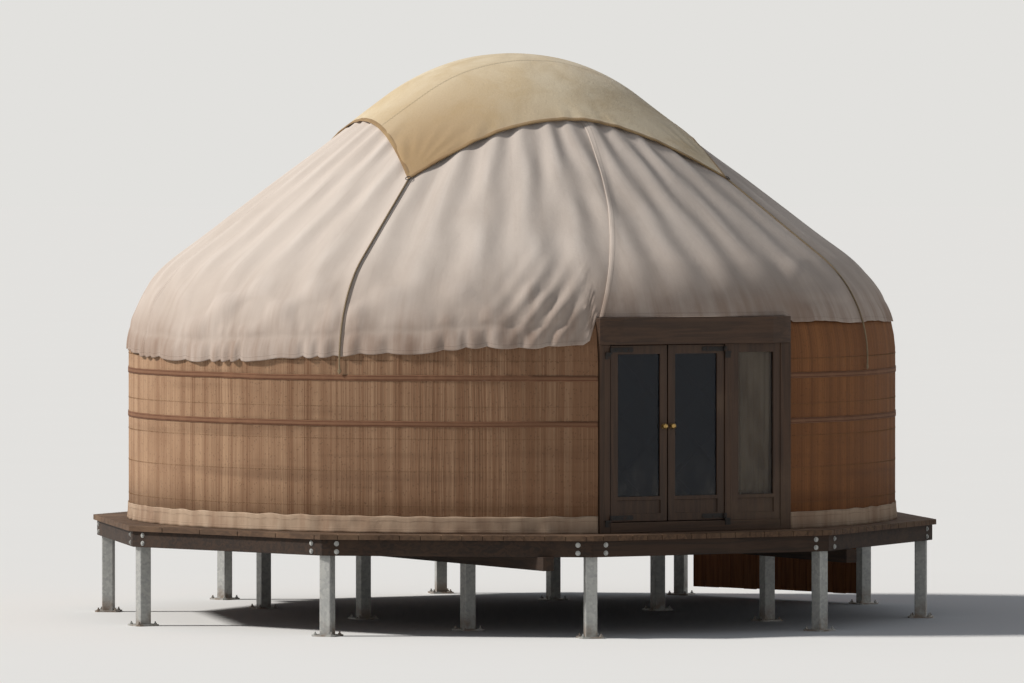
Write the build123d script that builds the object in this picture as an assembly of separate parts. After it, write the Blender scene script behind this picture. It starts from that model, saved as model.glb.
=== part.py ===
from build123d import *
import os
from math import asin, atan2, cos, degrees, hypot, radians, sin, sqrt

# A six-section felt yurt on a raised ten-sided deck, in millimetres.
# The yurt's axis is +Z through the origin, the ground is z = 0, and the door faces -Y.
# A bearing on the plan is an angle in degrees from the door, positive towards +X.

# Deck
deck_top = 760
deck_sides = 10
deck_radius = 3300
board_thickness = 40
board_overhang = 30
rim_width = 60
rim_depth = 120
joist_width = 60
joist_spacing = 520
bearer_width = 90
bearer_depth = 100
bearer_offset = 1300
post_size = 90
post_corner = 8
foot_plate_size = 190
foot_plate_thickness = 12
foot_plate_corner = 20
inner_post_spacing = 1700
skirt_thickness = 24
skirt_ground_gap = 70
skirt_side = 3

# Outer face of the cover, as a profile turned about the axis
cover_radius = 2985
shoulder_start = 1270
shoulder_radius = 950
roof_pitch = 36.87
dome_radius = 1600

# Layers of the wall and roof, from the outer face of the cover inwards
layer_gap = 0.3
canvas_thickness = 12
mat_thickness = 14
lath_thickness = 12
pole_size = 34

# Lattice wall
lattice_height = 1600
lattice_bays = 36
lattice_rows = 7
lath_width = 36
bays_per_panel = 3
panels_per_section = 2
section_names = ["left_front", "left_middle", "left_rear", "right_rear", "right_middle", "right_front"]

# Reed mats, base band and girth bands
mat_height = 1590
mat_names = ["left_front", "left_rear", "right_rear", "right_front"]
base_band_height = 130
band_thickness = 5
girth_band_width = 45
girth_band_heights = [790, 1130]

# Roof
crown_radius = 1010
crown_width = 90
crown_depth = 115
crown_bar_width = 34
crown_bar_depth = 32
crown_bar_spacing = 150
tenon_size = 18
tenon_length = 32
poles_over_door = 3
canvas_crown_gap = 2
canvas_seam = -8.9
seam_gap = 0.026
canvas_panels = {
    "front": 1550,
    "right_front": 1520,
    "right": 1500,
    "right_rear": 1460,
    "rear": 1420,
    "left_rear": 1340,
    "left": 1250,
    "left_front": 1380,
}
crown_cover_corner = 1820
corner_rope = 14
corner_rope_foot = 1180

# Door unit
door_width = 1640
door_depth = 90
door_front = 2875
jamb_width = 90
mullion_width = 60
lintel_bottom = 1400
lintel_overhang = 45
threshold_height = 80
side_clearance = 6
meeting_gap = 10
leaf_opening = 980
leaf_setback = 7
leaf_thickness = 36
stile_width = 60
rail_width = 66
glass_bottom = 270
glass_thickness = 6
glass_groove = 10
glass_clearance = 0.4
panel_recess = 12
panel_margin = 55
knob_height = 790
knob_radius = 22
knob_length = 48
knob_neck_radius = 9
knob_rose_radius = 18
knob_rose_thickness = 3
knob_rose_slope = 2
hinge_heights = [98, 1344]
hinge_axis_forward = 11
hinge_axis_side = 2
eye_radius = 10
pin_radius = 5
pin_clearance = 0.3
eye_height = 34
pin_shortfall = 4
pintle_shelf = 14
pintle_reach = 45
pintle_plate_height = 50
strap_length = 190
strap_thickness = 5
strap_tip_radius = 14
curtain_thickness = 8
curtain_side_margin = 20
curtain_top_margin = 12
curtain_below_glass = 40

# Reach of the shapes that only cut
cut_margin = 50
recess_overlap = 1

# Values that follow from the sizes above
floor = deck_top
rim_top = deck_top - board_thickness
rim_bottom = rim_top - rim_depth
bearer_bottom = rim_bottom - bearer_depth
rim_radius = deck_radius - board_overhang
half_side = 180 / deck_sides
tangent_angle = 90 - roof_pitch
shoulder_centre = cover_radius - shoulder_radius
shoulder_end = shoulder_start + shoulder_radius * sin(radians(tangent_angle))
roof_foot_radius = shoulder_centre + shoulder_radius * cos(radians(tangent_angle))
dome_join = dome_radius * sin(radians(roof_pitch))
roof_slope = sin(radians(roof_pitch)) / cos(radians(roof_pitch))
dome_join_height = shoulder_end + (roof_foot_radius - dome_join) * roof_slope
dome_centre = dome_join_height - dome_radius * cos(radians(roof_pitch))
mat_depth = canvas_thickness + layer_gap
lattice_depth = mat_depth + mat_thickness + layer_gap
lattice_thickness = 2 * lath_thickness
pole_depth = mat_depth
canvas_opening = dome_join + canvas_crown_gap
door_half = door_width / 2
door_back = door_front - door_depth
lintel_top = lattice_height
wall_edge = degrees(asin(door_half / cover_radius)) - recess_overlap


def cover_surface(depth, height):
    """Radius of the surface at this depth inside the cover's outer face, at a height above the floor."""
    if height <= shoulder_start:
        return cover_radius - depth
    return shoulder_centre + sqrt((shoulder_radius - depth) ** 2 - (height - shoulder_start) ** 2)


def roof_surface(depth, radius):
    """Height above the floor of the straight roof slope at this depth, at a radius."""
    level = shoulder_end + (roof_foot_radius - radius) * roof_slope
    return level - depth / cos(radians(roof_pitch))


def wall_course(depth, low, high):
    """Edges of the wall at this depth, from one height up to another."""
    edges = []
    start = (cover_surface(depth, low), floor + low)
    if low < shoulder_start:
        bend = (cover_radius - depth, floor + min(shoulder_start, high))
        edges.append(Line(start, bend))
    if high > shoulder_start:
        radius = shoulder_radius - depth
        first = degrees(asin(max(low - shoulder_start, 0) / radius))
        last = degrees(asin((high - shoulder_start) / radius))
        centre = (shoulder_centre, floor + shoulder_start)
        edges.append(CenterArc(centre, radius, first, last - first))
    return edges


def roof_course(depth, low, top_radius):
    """Edges at this depth from a height on the wall up to a radius on the straight roof slope."""
    tangent = shoulder_start + (shoulder_radius - depth) * sin(radians(tangent_angle))
    edges = wall_course(depth, low, tangent)
    top = (top_radius, floor + roof_surface(depth, top_radius))
    edges.append(Line(edges[-1] @ 1, top))
    return edges


def dome_course(depth, outer_radius):
    """Edges at this depth from the apex of the dome out to a radius on the straight roof slope."""
    radius = dome_radius - depth
    centre = (0, floor + dome_centre)
    reach = min(outer_radius, radius * sin(radians(roof_pitch)))
    turn = degrees(asin(reach / radius))
    edges = [CenterArc(centre, radius, 90, -turn)]
    if outer_radius > reach:
        edges.append(Line(edges[0] @ 1, (outer_radius, floor + roof_surface(depth, outer_radius))))
    return edges


def layer(outer_edges, inner_edges):
    """Upright face between two courses that run the same way, at the +X side of the axis."""
    ends = [Line(outer_edges[-1] @ 1, inner_edges[-1] @ 1)]
    first = outer_edges[0] @ 0
    second = inner_edges[0] @ 0
    ends.append(Line(first, second))
    return Plane.XZ * make_face(outer_edges + inner_edges + ends)


def at_bearing(shape, bearing):
    """Turn a shape that was made at the +X side to a bearing from the door."""
    return Rot(0, 0, bearing - 90) * shape


def sector(face, first, last):
    """Turn a face about the axis from one bearing to another."""
    return at_bearing(revolve(face, Axis.Z, revolution_arc=last - first), first)


def deck_plan(radius):
    """Ten-sided face whose front side is square to the door."""
    return Rot(0, 0, 90) * RegularPolygon(radius, deck_sides, rotation=half_side)


def door_recess():
    """Space that the door unit takes out of the wall and cover, with a gap all round."""
    width = door_width + 2 * layer_gap
    height = lintel_top + layer_gap + floor
    centre = Pos(0, -(door_back + cover_radius) / 2, height / 2)
    return centre * Box(width, cover_radius - door_back + 2 * cut_margin, height)


def save(name, solids):
    """Write one named sub-part, from one solid or a list of solids."""
    shape = solids if isinstance(solids, (Part, Solid, Compound)) else Compound(children=list(solids))
    export_step(shape, f"parts/{name}.step")


def corner_bearings():
    """Bearings of the deck's corners, from the left of the door round to the right."""
    step = 2 * half_side
    return [half_side + step * k for k in range(deck_sides)]


def post(height):
    """Square post on a foot plate, with its axis on Z."""
    plate = Pos(0, 0, foot_plate_thickness / 2) * Box(foot_plate_size, foot_plate_size, foot_plate_thickness)
    plate = chamfer(plate.edges().filter_by(Axis.Z), foot_plate_corner)
    shaft_height = height - foot_plate_thickness
    shaft = Pos(0, 0, foot_plate_thickness + shaft_height / 2) * Box(post_size, post_size, shaft_height)
    shaft = fillet(shaft.edges().filter_by(Axis.Z), post_corner)
    return plate + shaft


def outer_posts():
    """One post under each corner of the rim."""
    reach = rim_radius - post_size
    return [at_bearing(Pos(reach, 0, 0) * post(rim_bottom), b) for b in corner_bearings()]


def inner_posts():
    """Posts under the two bearers."""
    places = [(x, y) for x in (-bearer_offset, bearer_offset) for y in (-inner_post_spacing, 0, inner_post_spacing)]
    return [Pos(x, y, 0) * post(bearer_bottom) for x, y in places]


def rim_beams():
    """Beams under the edge of the boards, one to a side, mitred where they meet."""
    inner = rim_radius - rim_width / cos(radians(half_side))
    ring = extrude(deck_plan(rim_radius) - deck_plan(inner), rim_depth)
    wedge_angle = half_side - degrees(layer_gap / 2 / inner)
    across = 2 * rim_radius
    rise = across * sin(radians(wedge_angle)) / cos(radians(wedge_angle))
    wedge = extrude(Polygon((0, 0), (across, -rise), (across, rise), align=None), rim_depth)
    beam = at_bearing(wedge, 0) & ring
    return [Pos(0, 0, rim_bottom) * Rot(0, 0, 2 * half_side * k) * beam for k in range(deck_sides)]


def bearers():
    """Two long beams under the joists."""
    inner = rim_radius * cos(radians(half_side)) - rim_width
    length = 2 * (inner - post_size)
    beam = Box(bearer_width, length, bearer_depth)
    height = bearer_bottom + bearer_depth / 2
    return [Pos(x, 0, height) * beam for x in (-bearer_offset, bearer_offset)]


def joists():
    """Joists side by side, cut to fit inside the rim."""
    inner = rim_radius - rim_width / cos(radians(half_side)) - layer_gap
    field = Pos(0, 0, rim_bottom) * extrude(deck_plan(inner), rim_depth)
    count = int((2 * inner * cos(radians(half_side)) - joist_width) / joist_spacing)
    first = -(count - 1) / 2 * joist_spacing
    rows = []
    for k in range(count):
        bar = Pos(0, first + k * joist_spacing, rim_bottom + rim_depth / 2) * Box(2 * inner, joist_width, rim_depth)
        rows.append((bar & field).solid())
    return rows


def floor_boards():
    """The boarded floor as one ten-sided slab."""
    return Pos(0, 0, rim_top) * extrude(deck_plan(deck_radius), board_thickness)


def skirt_panel():
    """Boarded panel that hangs from the rim between two outer posts at the right rear."""
    bearing = 2 * half_side * skirt_side
    rim_inner = rim_radius * cos(radians(half_side)) - rim_width
    side = 2 * (rim_radius - post_size) * sin(radians(half_side))
    length = side - foot_plate_size
    height = rim_bottom - skirt_ground_gap
    panel = Pos(rim_inner + rim_width / 2, 0, skirt_ground_gap + height / 2) * Box(skirt_thickness, length, height)
    return at_bearing(panel, bearing)


def lattice_bearing(column):
    """Bearing of a column of crossings, counted from the door's left jamb round the back."""
    first = degrees(asin(door_half / (cover_radius - lattice_depth)))
    return -first - column * (360 - 2 * first) / (2 * lattice_bays)


def lath_slab(middle_column, slope):
    """Slanting slab that leaves one lath of a curved layer; slope is -1 where it climbs with the columns."""
    centre_radius = cover_radius - lattice_depth - lath_thickness
    half_turn = abs(lattice_bearing(lattice_rows / 2) - lattice_bearing(0))
    half_span = centre_radius * sin(radians(half_turn))
    tilt = degrees(atan2(lattice_height / 2, half_span))
    length = 2 * hypot(lattice_height / 2, half_span) + 2 * lath_width
    wall_head = cover_surface(lattice_depth + lattice_thickness, lattice_height)
    inner = wall_head * cos(radians(half_turn)) - cut_margin
    depth = cover_radius - inner
    slab = Rot(slope * tilt, 0, 0) * Box(depth, length, lath_width)
    return at_bearing(Pos(inner + depth / 2, 0, floor + lattice_height / 2) * slab, lattice_bearing(middle_column))


def lath_layer(depth, first_column, last_column, slope):
    """Laths of one layer between two columns, all at the same slope."""
    low, high = lattice_bearing(last_column), lattice_bearing(first_column)
    outside = wall_course(depth, 0, lattice_height)
    inside = wall_course(depth + lath_thickness, 0, lattice_height)
    shell = sector(layer(outside, inside), low + seam_gap, high - seam_gap)
    laths = []
    for foot in range(first_column - lattice_rows + 2, last_column, 2):
        middle = foot + lattice_rows / 2
        if slope > 0:
            middle = first_column + last_column - middle
        laths.append(shell & lath_slab(middle, slope))
    return laths


def lattice_panel(first_column, last_column):
    """A curved panel of two layers of laths, joined where they cross."""
    outer = lath_layer(lattice_depth, first_column, last_column, -1)
    inner = lath_layer(lattice_depth + lath_thickness, first_column, last_column, 1)
    return outer[0] + (outer[1:] + inner)


def lattice_sections():
    """Each section of the lattice wall, as its curved panels."""
    columns = 2 * bays_per_panel
    recess = door_recess()
    sections = {}
    for number, name in enumerate(section_names):
        panels = []
        for part in range(panels_per_section):
            first = (number * panels_per_section + part) * columns
            panel = lattice_panel(first, first + columns) - recess
            panels.extend(panel.solids())
        sections[name] = panels
    return sections


def reed_mats():
    """Reed mats round the outside of the lattice, from one jamb round to the other."""
    outside = wall_course(mat_depth, 0, mat_height)
    inside = wall_course(mat_depth + mat_thickness, 0, mat_height)
    face = layer(outside, inside)
    recess = door_recess()
    span = (360 - 2 * wall_edge) / len(mat_names)
    mats = {}
    for number, name in enumerate(mat_names):
        high = -wall_edge - number * span - seam_gap
        mats[name] = (sector(face, high - span + 2 * seam_gap, high) - recess).solid()
    return mats


def wall_band(low, high):
    """A band round the outside of the mats, open at the door."""
    outside = wall_course(mat_depth - layer_gap - band_thickness, low, high)
    inside = wall_course(mat_depth - layer_gap, low, high)
    return (sector(layer(outside, inside), wall_edge, 360 - wall_edge) - door_recess()).solid()


def tenon(size, near, far):
    """Square bar in line with the head of a pole at the +X side, between two radii."""
    middle = pole_depth + pole_size / 2
    edges = []
    for depth in (middle - size / 2, middle + size / 2):
        ends = [(radius, floor + roof_surface(depth, radius)) for radius in (near, far)]
        edges.append([Line(*ends)])
    return extrude(layer(*edges), size / 2, both=True)


def roof_pole():
    """One bent pole at the +X side, from the head of the wall up to its tenon in the crown ring."""
    foot = lattice_height + layer_gap
    top = crown_radius + layer_gap
    outside = roof_course(pole_depth, foot, top)
    inside = roof_course(pole_depth + pole_size, foot, top)
    pole = extrude(layer(outside, inside), pole_size / 2, both=True)
    return pole + tenon(tenon_size, top + pole_size, crown_radius - tenon_length)


def pole_bearings():
    """Bearings of the poles: one over each head of the lattice, and those over the door."""
    heads = [lattice_bearing(2 * k) for k in range(lattice_bays + 1)]
    gap = 2 * abs(heads[0]) / (poles_over_door + 1)
    over_door = [heads[0] + gap * (k + 1) for k in range(poles_over_door)]
    return heads, over_door


def crown_ring():
    """The bent wooden ring, with a mortise for the tenon of each pole."""
    inner = crown_radius - crown_width
    outer_top = roof_surface(pole_depth, crown_radius)
    inner_top = roof_surface(pole_depth, inner)
    bottom = outer_top - crown_depth
    corners = [(inner, bottom), (crown_radius, bottom), (crown_radius, outer_top), (inner, inner_top)]
    profile = Polygon(*[(r, floor + z) for r, z in corners], align=None)
    ring = revolve(Plane.XZ * profile, Axis.Z)
    mortise = tenon(tenon_size + 2 * layer_gap, crown_radius + cut_margin, crown_radius - tenon_length - layer_gap)
    heads, over_door = pole_bearings()
    return ring - [at_bearing(mortise, b) for b in heads + over_door]


def crown_bars():
    """Domed bars that cross the crown ring in two sets at right angles."""
    reach = crown_radius - crown_width - layer_gap
    dome = revolve(layer(dome_course(layer_gap, reach), dome_course(crown_bar_depth, reach)), Axis.Z)
    height = floor + dome_centre + dome_radius
    slabs = []
    for offset in (-crown_bar_spacing, 0, crown_bar_spacing):
        slabs.append(Pos(offset, 0, height) * Box(crown_bar_width, 2 * crown_radius, 2 * crown_radius))
        slabs.append(Pos(0, offset, height) * Box(2 * crown_radius, crown_bar_width, 2 * crown_radius))
    cross = slabs[0] + slabs[1:]
    return (Rot(0, 0, canvas_seam) * cross) & dome


def canvas_sectors():
    """Roof canvas in panels, each with its own hem height, open over the door."""
    recess = door_recess()
    span = 360 / len(canvas_panels)
    panels = {}
    for number, (name, hem) in enumerate(canvas_panels.items()):
        face = layer(roof_course(0, hem, canvas_opening), roof_course(canvas_thickness, hem, canvas_opening))
        first = canvas_seam + number * span
        panels[name] = (sector(face, first + seam_gap, first + span - seam_gap) - recess).solid()
    return panels


def crown_cover():
    """Square felt over the crown, with its corners in line with the seams of the canvas."""
    reach = crown_cover_corner + cut_margin
    outside = dome_course(-layer_gap - canvas_thickness, reach)
    inside = dome_course(-layer_gap, reach)
    dome = revolve(layer(outside, inside), Axis.Z)
    side = crown_cover_corner * sqrt(2)
    prism = Pos(0, 0, floor + dome_centre + dome_radius) * Box(side, side, 2 * side)
    return (Rot(0, 0, canvas_seam) * prism) & dome


def corner_ropes():
    """Rope from each corner of the crown cover, down over the shoulder to the wall."""
    top = crown_cover_corner + layer_gap
    outside = roof_course(-layer_gap - corner_rope, corner_rope_foot, top)
    inside = roof_course(-layer_gap, corner_rope_foot, top)
    rope = extrude(layer(outside, inside), corner_rope / 2, both=True)
    return [at_bearing(rope, canvas_seam + 45 + 90 * k) for k in range(4)]


def upright_box(left, right, front, back, low, high):
    """Box between two X values, two distances in front of the axis and two heights above the floor."""
    centre = Pos((left + right) / 2, -(front + back) / 2, floor + (low + high) / 2)
    return centre * Box(right - left, front - back, high - low)


def door_jambs():
    """Left and right jambs, from the floor to the lintel."""
    inner = door_half - jamb_width
    sides = [(-door_half, -inner), (inner, door_half)]
    return [upright_box(a, b, door_front, door_back, 0, lintel_bottom) for a, b in sides]


def door_lintel():
    """Deep lintel that carries the poles over the door, its ends rounded to the wall."""
    block = upright_box(-door_half, door_half, door_front + lintel_overhang, door_back, lintel_bottom, lintel_top)
    corner = hypot(door_half, door_front)
    return block & (Pos(0, 0, floor + lintel_top) * Cylinder(corner, 2 * lintel_top))


def door_threshold():
    """Threshold between the jambs."""
    inner = door_half - jamb_width - layer_gap
    return upright_box(-inner, inner, door_front, door_back, 0, threshold_height)


def opening_edges():
    """X values of the leaf opening and of the mullion."""
    left = -(door_half - jamb_width)
    return left, left + leaf_opening, left + leaf_opening + mullion_width


def door_mullion():
    """Post between the leaves and the sidelight."""
    _, left, right = opening_edges()
    gap = layer_gap
    return upright_box(left, right, door_front, door_back, threshold_height + gap, lintel_bottom - gap)


def glazed_frame(left, right, low, high):
    """Stiles, rails and a recessed lower panel round a glazed opening, with a groove for the pane."""
    front = door_front - leaf_setback
    back = front - leaf_thickness
    frame = upright_box(left, right, front, back, low, high)
    light = upright_box(
        left + stile_width,
        right - stile_width,
        front + cut_margin,
        back - cut_margin,
        glass_bottom,
        high - rail_width,
    )
    middle = (front + back) / 2
    half = glass_thickness / 2 + glass_clearance
    inset = stile_width - glass_groove
    groove = upright_box(
        left + inset,
        right - inset,
        middle + half,
        middle - half,
        glass_bottom - glass_groove,
        high - rail_width + glass_groove,
    )
    frame = frame - light - groove
    panel_low = low + panel_margin
    panel_high = glass_bottom - panel_margin / 2
    panel_left = left + panel_margin
    panel_right = right - panel_margin
    for face, depth in ((front, front - panel_recess), (back + panel_recess, back)):
        frame -= upright_box(panel_left, panel_right, face, depth, panel_low, panel_high)
    return frame


def pane(left, right, high):
    """Glass that sits in the groove of a glazed frame."""
    middle = door_front - leaf_setback - leaf_thickness / 2
    inset = stile_width - glass_groove + glass_clearance
    half = glass_thickness / 2
    low = glass_bottom - glass_groove + glass_clearance
    top = high - rail_width + glass_groove - glass_clearance
    return upright_box(left + inset, right - inset, middle + half, middle - half, low, top)


def hinge_strap(edge, side, height):
    """Strap on the face of a leaf with its eye round the pin; side is +1 where the leaf lies towards +X."""
    axis_x = edge + side * hinge_axis_side
    axis_y = door_front + hinge_axis_forward
    face = door_front - leaf_setback
    low = height
    high = height + eye_height
    near = edge + side * side_clearance
    far = near + side * strap_length
    strap = upright_box(min(near, far), max(near, far), face + strap_thickness, face, low, high)
    across = strap.edges().filter_by(Axis.Y).group_by(Axis.X)
    strap = fillet(across[-1] if side > 0 else across[0], strap_tip_radius)
    web_end = near + side * eye_radius
    web = upright_box(min(near, web_end), max(near, web_end), axis_y + strap_thickness, face, low, high)
    eye = Pos(axis_x, -axis_y, floor + (low + high) / 2) * Cylinder(eye_radius, high - low)
    arm = upright_box(min(axis_x, web_end), max(axis_x, web_end), axis_y + strap_thickness, axis_y, low, high)
    bore = Pos(axis_x, -axis_y, floor + (low + high) / 2) * Cylinder(pin_radius + pin_clearance, 2 * eye_height)
    return strap + web + eye + arm - bore


def pintle(edge, side, height):
    """Pin on a bracket from the face of the jamb or mullion, under a leaf's eye."""
    axis_x = edge + side * hinge_axis_side
    axis_y = door_front + hinge_axis_forward
    top = height - layer_gap
    foot = top - pintle_shelf
    far = edge - side * pintle_reach
    low = top - pintle_plate_height
    plate = upright_box(min(edge, far), max(edge, far), door_front + strap_thickness, door_front, low, top)
    near = axis_x + side * eye_radius / 2
    bracket = upright_box(min(near, far), max(near, far), axis_y + eye_radius / 2, door_front, foot, top)
    pin_height = pintle_shelf + eye_height - pin_shortfall
    pin = Pos(axis_x, -axis_y, floor + foot + pin_height / 2) * Cylinder(pin_radius, pin_height)
    return plate + bracket + pin


def knob(x):
    """Turned knob on the front and on the back of a leaf."""
    front = door_front - leaf_setback
    rose = knob_rose_radius
    neck = knob_neck_radius
    centre = knob_length - knob_radius
    stem_top = centre - sqrt(knob_radius**2 - neck**2)
    turn = degrees(atan2(centre - stem_top, neck))
    neck_foot = knob_rose_thickness + knob_rose_slope
    stem = Polyline((0, 0), (rose, 0), (rose, knob_rose_thickness), (neck, neck_foot), (neck, stem_top))
    ball = CenterArc((0, centre), knob_radius, -turn, turn + 90)
    turned = revolve(Plane.XZ * make_face(stem.edges() + [ball, Line((0, knob_length), (0, 0))]), Axis.Z)
    outside = Pos(x, -front - layer_gap, floor + knob_height) * Rot(90, 0, 0) * turned
    inside = Pos(x, -front + leaf_thickness + layer_gap, floor + knob_height) * Rot(-90, 0, 0) * turned
    return [outside, inside]


def door_leaf(name, hinge_edge, side):
    """Write the nodes of one leaf; side is +1 where the leaf lies towards +X of its hinge."""
    low = threshold_height + side_clearance
    high = lintel_bottom - side_clearance
    near = hinge_edge + side * side_clearance
    far = hinge_edge + side * (leaf_opening - meeting_gap) / 2
    left, right = min(near, far), max(near, far)
    save(f"{name}_leaf_frame", glazed_frame(left, right, low, high))
    save(f"{name}_leaf_glass", pane(left, right, high))
    save(f"{name}_leaf_straps", [hinge_strap(hinge_edge, side, h) for h in hinge_heights])
    save(f"{name}_leaf_knobs", knob(far - side * stile_width / 2))


def sidelight():
    """Write the fixed light beside the leaves, with the curtain behind it."""
    _, _, left = opening_edges()
    right = door_half - jamb_width
    low = threshold_height + layer_gap
    high = lintel_bottom - layer_gap
    save("sidelight_frame", glazed_frame(left + layer_gap, right - layer_gap, low, high))
    save("sidelight_glass", pane(left + layer_gap, right - layer_gap, high))
    front = door_front - leaf_setback - leaf_thickness - layer_gap
    back = front - curtain_thickness
    curtain_left = left + curtain_side_margin
    curtain_right = right - curtain_side_margin
    bottom = glass_bottom - curtain_below_glass
    top = high - curtain_top_margin
    save("sidelight_curtain", upright_box(curtain_left, curtain_right, front, back, bottom, top))


def build():
    """Make every sub-part and write it under its own name."""
    os.makedirs("parts", exist_ok=True)
    save("outer_posts", outer_posts())
    save("inner_posts", inner_posts())
    save("rim_beams", rim_beams())
    save("bearers", bearers())
    save("joists", joists())
    save("floor_boards", floor_boards())
    save("skirt_panel", skirt_panel())
    for name, panels in lattice_sections().items():
        save(f"lattice_{name}", panels)
    for name, mat in reed_mats().items():
        save(f"reed_mat_{name}", mat)
    save("base_band", wall_band(layer_gap, base_band_height))
    save("girth_bands", [wall_band(height, height + girth_band_width) for height in girth_band_heights])
    heads, over_door = pole_bearings()
    pole = roof_pole()
    middle = len(heads) // 2
    save("roof_poles_left", [at_bearing(pole, b) for b in heads[:middle]])
    save("roof_poles_right", [at_bearing(pole, b) for b in heads[middle:]])
    save("roof_poles_door", [at_bearing(pole, b) for b in over_door])
    save("crown_ring", crown_ring())
    save("crown_bars", crown_bars())
    for name, panel in canvas_sectors().items():
        save(f"roof_canvas_{name}", panel)
    save("crown_cover", crown_cover())
    save("corner_ropes", corner_ropes())
    save("door_jambs", door_jambs())
    save("door_lintel", door_lintel())
    save("door_threshold", door_threshold())
    save("door_mullion", door_mullion())
    left, right, _ = opening_edges()
    pins = [pintle(left, 1, h) for h in hinge_heights] + [pintle(right, -1, h) for h in hinge_heights]
    save("door_pintles", pins)
    door_leaf("left", left, 1)
    door_leaf("right", right, -1)
    sidelight()


build()
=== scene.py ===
"""A felt and canvas yurt with reed walls, on a raised ten-sided deck.

Lengths are in metres. The yurt's axis is Z, the ground is z = 0 and the door faces -Y.
A bearing is an angle on the plan in degrees from the door, positive towards +X; a turn is the same in radians.
A climb is a distance along the cover's outer face from the floor: up the wall and in over the roof.
"""

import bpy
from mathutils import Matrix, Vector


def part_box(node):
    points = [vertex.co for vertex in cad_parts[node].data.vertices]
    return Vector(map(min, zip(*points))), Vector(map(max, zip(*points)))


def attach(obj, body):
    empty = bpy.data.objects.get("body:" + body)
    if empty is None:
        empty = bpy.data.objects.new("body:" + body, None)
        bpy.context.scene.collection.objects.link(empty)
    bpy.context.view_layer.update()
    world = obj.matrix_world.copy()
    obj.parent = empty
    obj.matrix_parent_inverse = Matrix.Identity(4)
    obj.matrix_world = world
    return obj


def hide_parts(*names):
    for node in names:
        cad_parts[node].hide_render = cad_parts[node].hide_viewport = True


bl_info = {
    "name": "Yurt on a deck",
    "version": (1, 0, 0),
    "blender": (4, 5, 0),
    "location": "3D View > Sidebar > Yurt",
    "description": "Dresses the yurt's frame with cloth, reed, timber and metal",
    "category": "Add Mesh",
}

import bmesh
import bpy
import numpy as np

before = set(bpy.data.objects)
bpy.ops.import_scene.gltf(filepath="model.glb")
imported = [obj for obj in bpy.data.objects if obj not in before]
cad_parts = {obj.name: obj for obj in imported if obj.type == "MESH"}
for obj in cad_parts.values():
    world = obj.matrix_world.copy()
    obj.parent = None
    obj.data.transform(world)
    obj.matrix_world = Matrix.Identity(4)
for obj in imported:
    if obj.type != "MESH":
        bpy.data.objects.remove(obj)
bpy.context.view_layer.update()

# Places and sizes of the frame
DECK_TOP = float(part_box("floor_boards")[1][2])
DECK_RADIUS = 3.3
DECK_CORNERS = (-2.66976, -1.01976, 1.01976, 2.66976)
RIM_RADIUS = 3.27
POST_RADIUS = 3.18
FOOT_PLATE = 0.012
COVER_RADIUS = 2.985
SHOULDER_START = 1.27
SHOULDER_RADIUS = 0.95
PITCH = np.arctan(0.75)
DOME_RADIUS = 1.6
MAT_HEIGHT = 1.59
MAT_FACE = 0.0123
MAT_BACK = 0.0263
LATTICE_BACK = 0.0506
LATTICE_HEIGHT = 1.6
DOOR_HALF = 0.82
HEAD_RADIUS = 2.9584
HEAD_GAPS = 36
WALL_START = 16.12
STRAP_FACE = 2.873
STRAP_HALF = 0.017
CROWN_COVER_CORNER = 1.82
FADE_CORNER = 1.287
CANVAS_SEAM = -8.9
ROPE_FOOT = 1.18

# Values that follow from them
TURN = np.pi / 2 - PITCH
SHOULDER_CENTRE = COVER_RADIUS - SHOULDER_RADIUS
SLOPE_START = SHOULDER_START + SHOULDER_RADIUS * TURN
SLOPE_FOOT = SHOULDER_CENTRE + SHOULDER_RADIUS * np.cos(TURN)
DOME_JOIN = DOME_RADIUS * np.sin(PITCH)
DOME_START = SLOPE_START + (SLOPE_FOOT - DOME_JOIN) / np.cos(PITCH)
FIRST_HEAD = np.degrees(np.arcsin(DOOR_HALF / HEAD_RADIUS))
HEAD_STEP = (360 - 2 * FIRST_HEAD) / HEAD_GAPS
FELT_HALF = CROWN_COVER_CORNER / np.sqrt(2)
HALF_SIDE = np.pi / 10
SIDE_BEARINGS = 36.0 * np.arange(10)


def linear(red, green, blue):
    """Scene colour of a colour that is written in display values from 0 to 255."""
    share = np.array([red, green, blue]) / 255
    value = np.where(share <= 0.04045, share / 12.92, ((share + 0.055) / 1.055) ** 2.4)
    return tuple(float(v) for v in value)


def shade(colour, factor):
    return tuple(c * factor for c in colour)


# Surfaces


def cover_line(climb):
    """Radius, height above the floor and lean of the cover's outer face at a climb.

    The line runs straight up the wall, round the shoulder's arc, up the straight roof and over the dome's arc.
    The lean is the angle of the outward normal above the horizontal.
    """
    climb = np.asarray(climb, float)
    wall = np.minimum(climb, SHOULDER_START)
    bend = np.clip((climb - SHOULDER_START) / SHOULDER_RADIUS, 0, TURN)
    slope = np.clip(climb - SLOPE_START, 0, DOME_START - SLOPE_START)
    dome = np.clip((climb - DOME_START) / DOME_RADIUS, 0, PITCH)
    radius = SHOULDER_CENTRE + SHOULDER_RADIUS * np.cos(bend) - slope * np.cos(PITCH)
    radius = radius - DOME_RADIUS * (np.sin(PITCH) - np.sin(PITCH - dome))
    height = wall + SHOULDER_RADIUS * np.sin(bend) + slope * np.sin(PITCH)
    height = height + DOME_RADIUS * (np.cos(PITCH - dome) - np.cos(PITCH))
    return radius, height, bend + dome


def climb_to_height(height):
    """Climb up to a height on the wall or shoulder: the height over the shoulder's foot is its radius times a sine."""
    height = np.asarray(height, float)
    bend = np.arcsin(np.clip((height - SHOULDER_START) / SHOULDER_RADIUS, 0, np.sin(TURN)))
    return np.minimum(height, SHOULDER_START) + SHOULDER_RADIUS * bend


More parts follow.
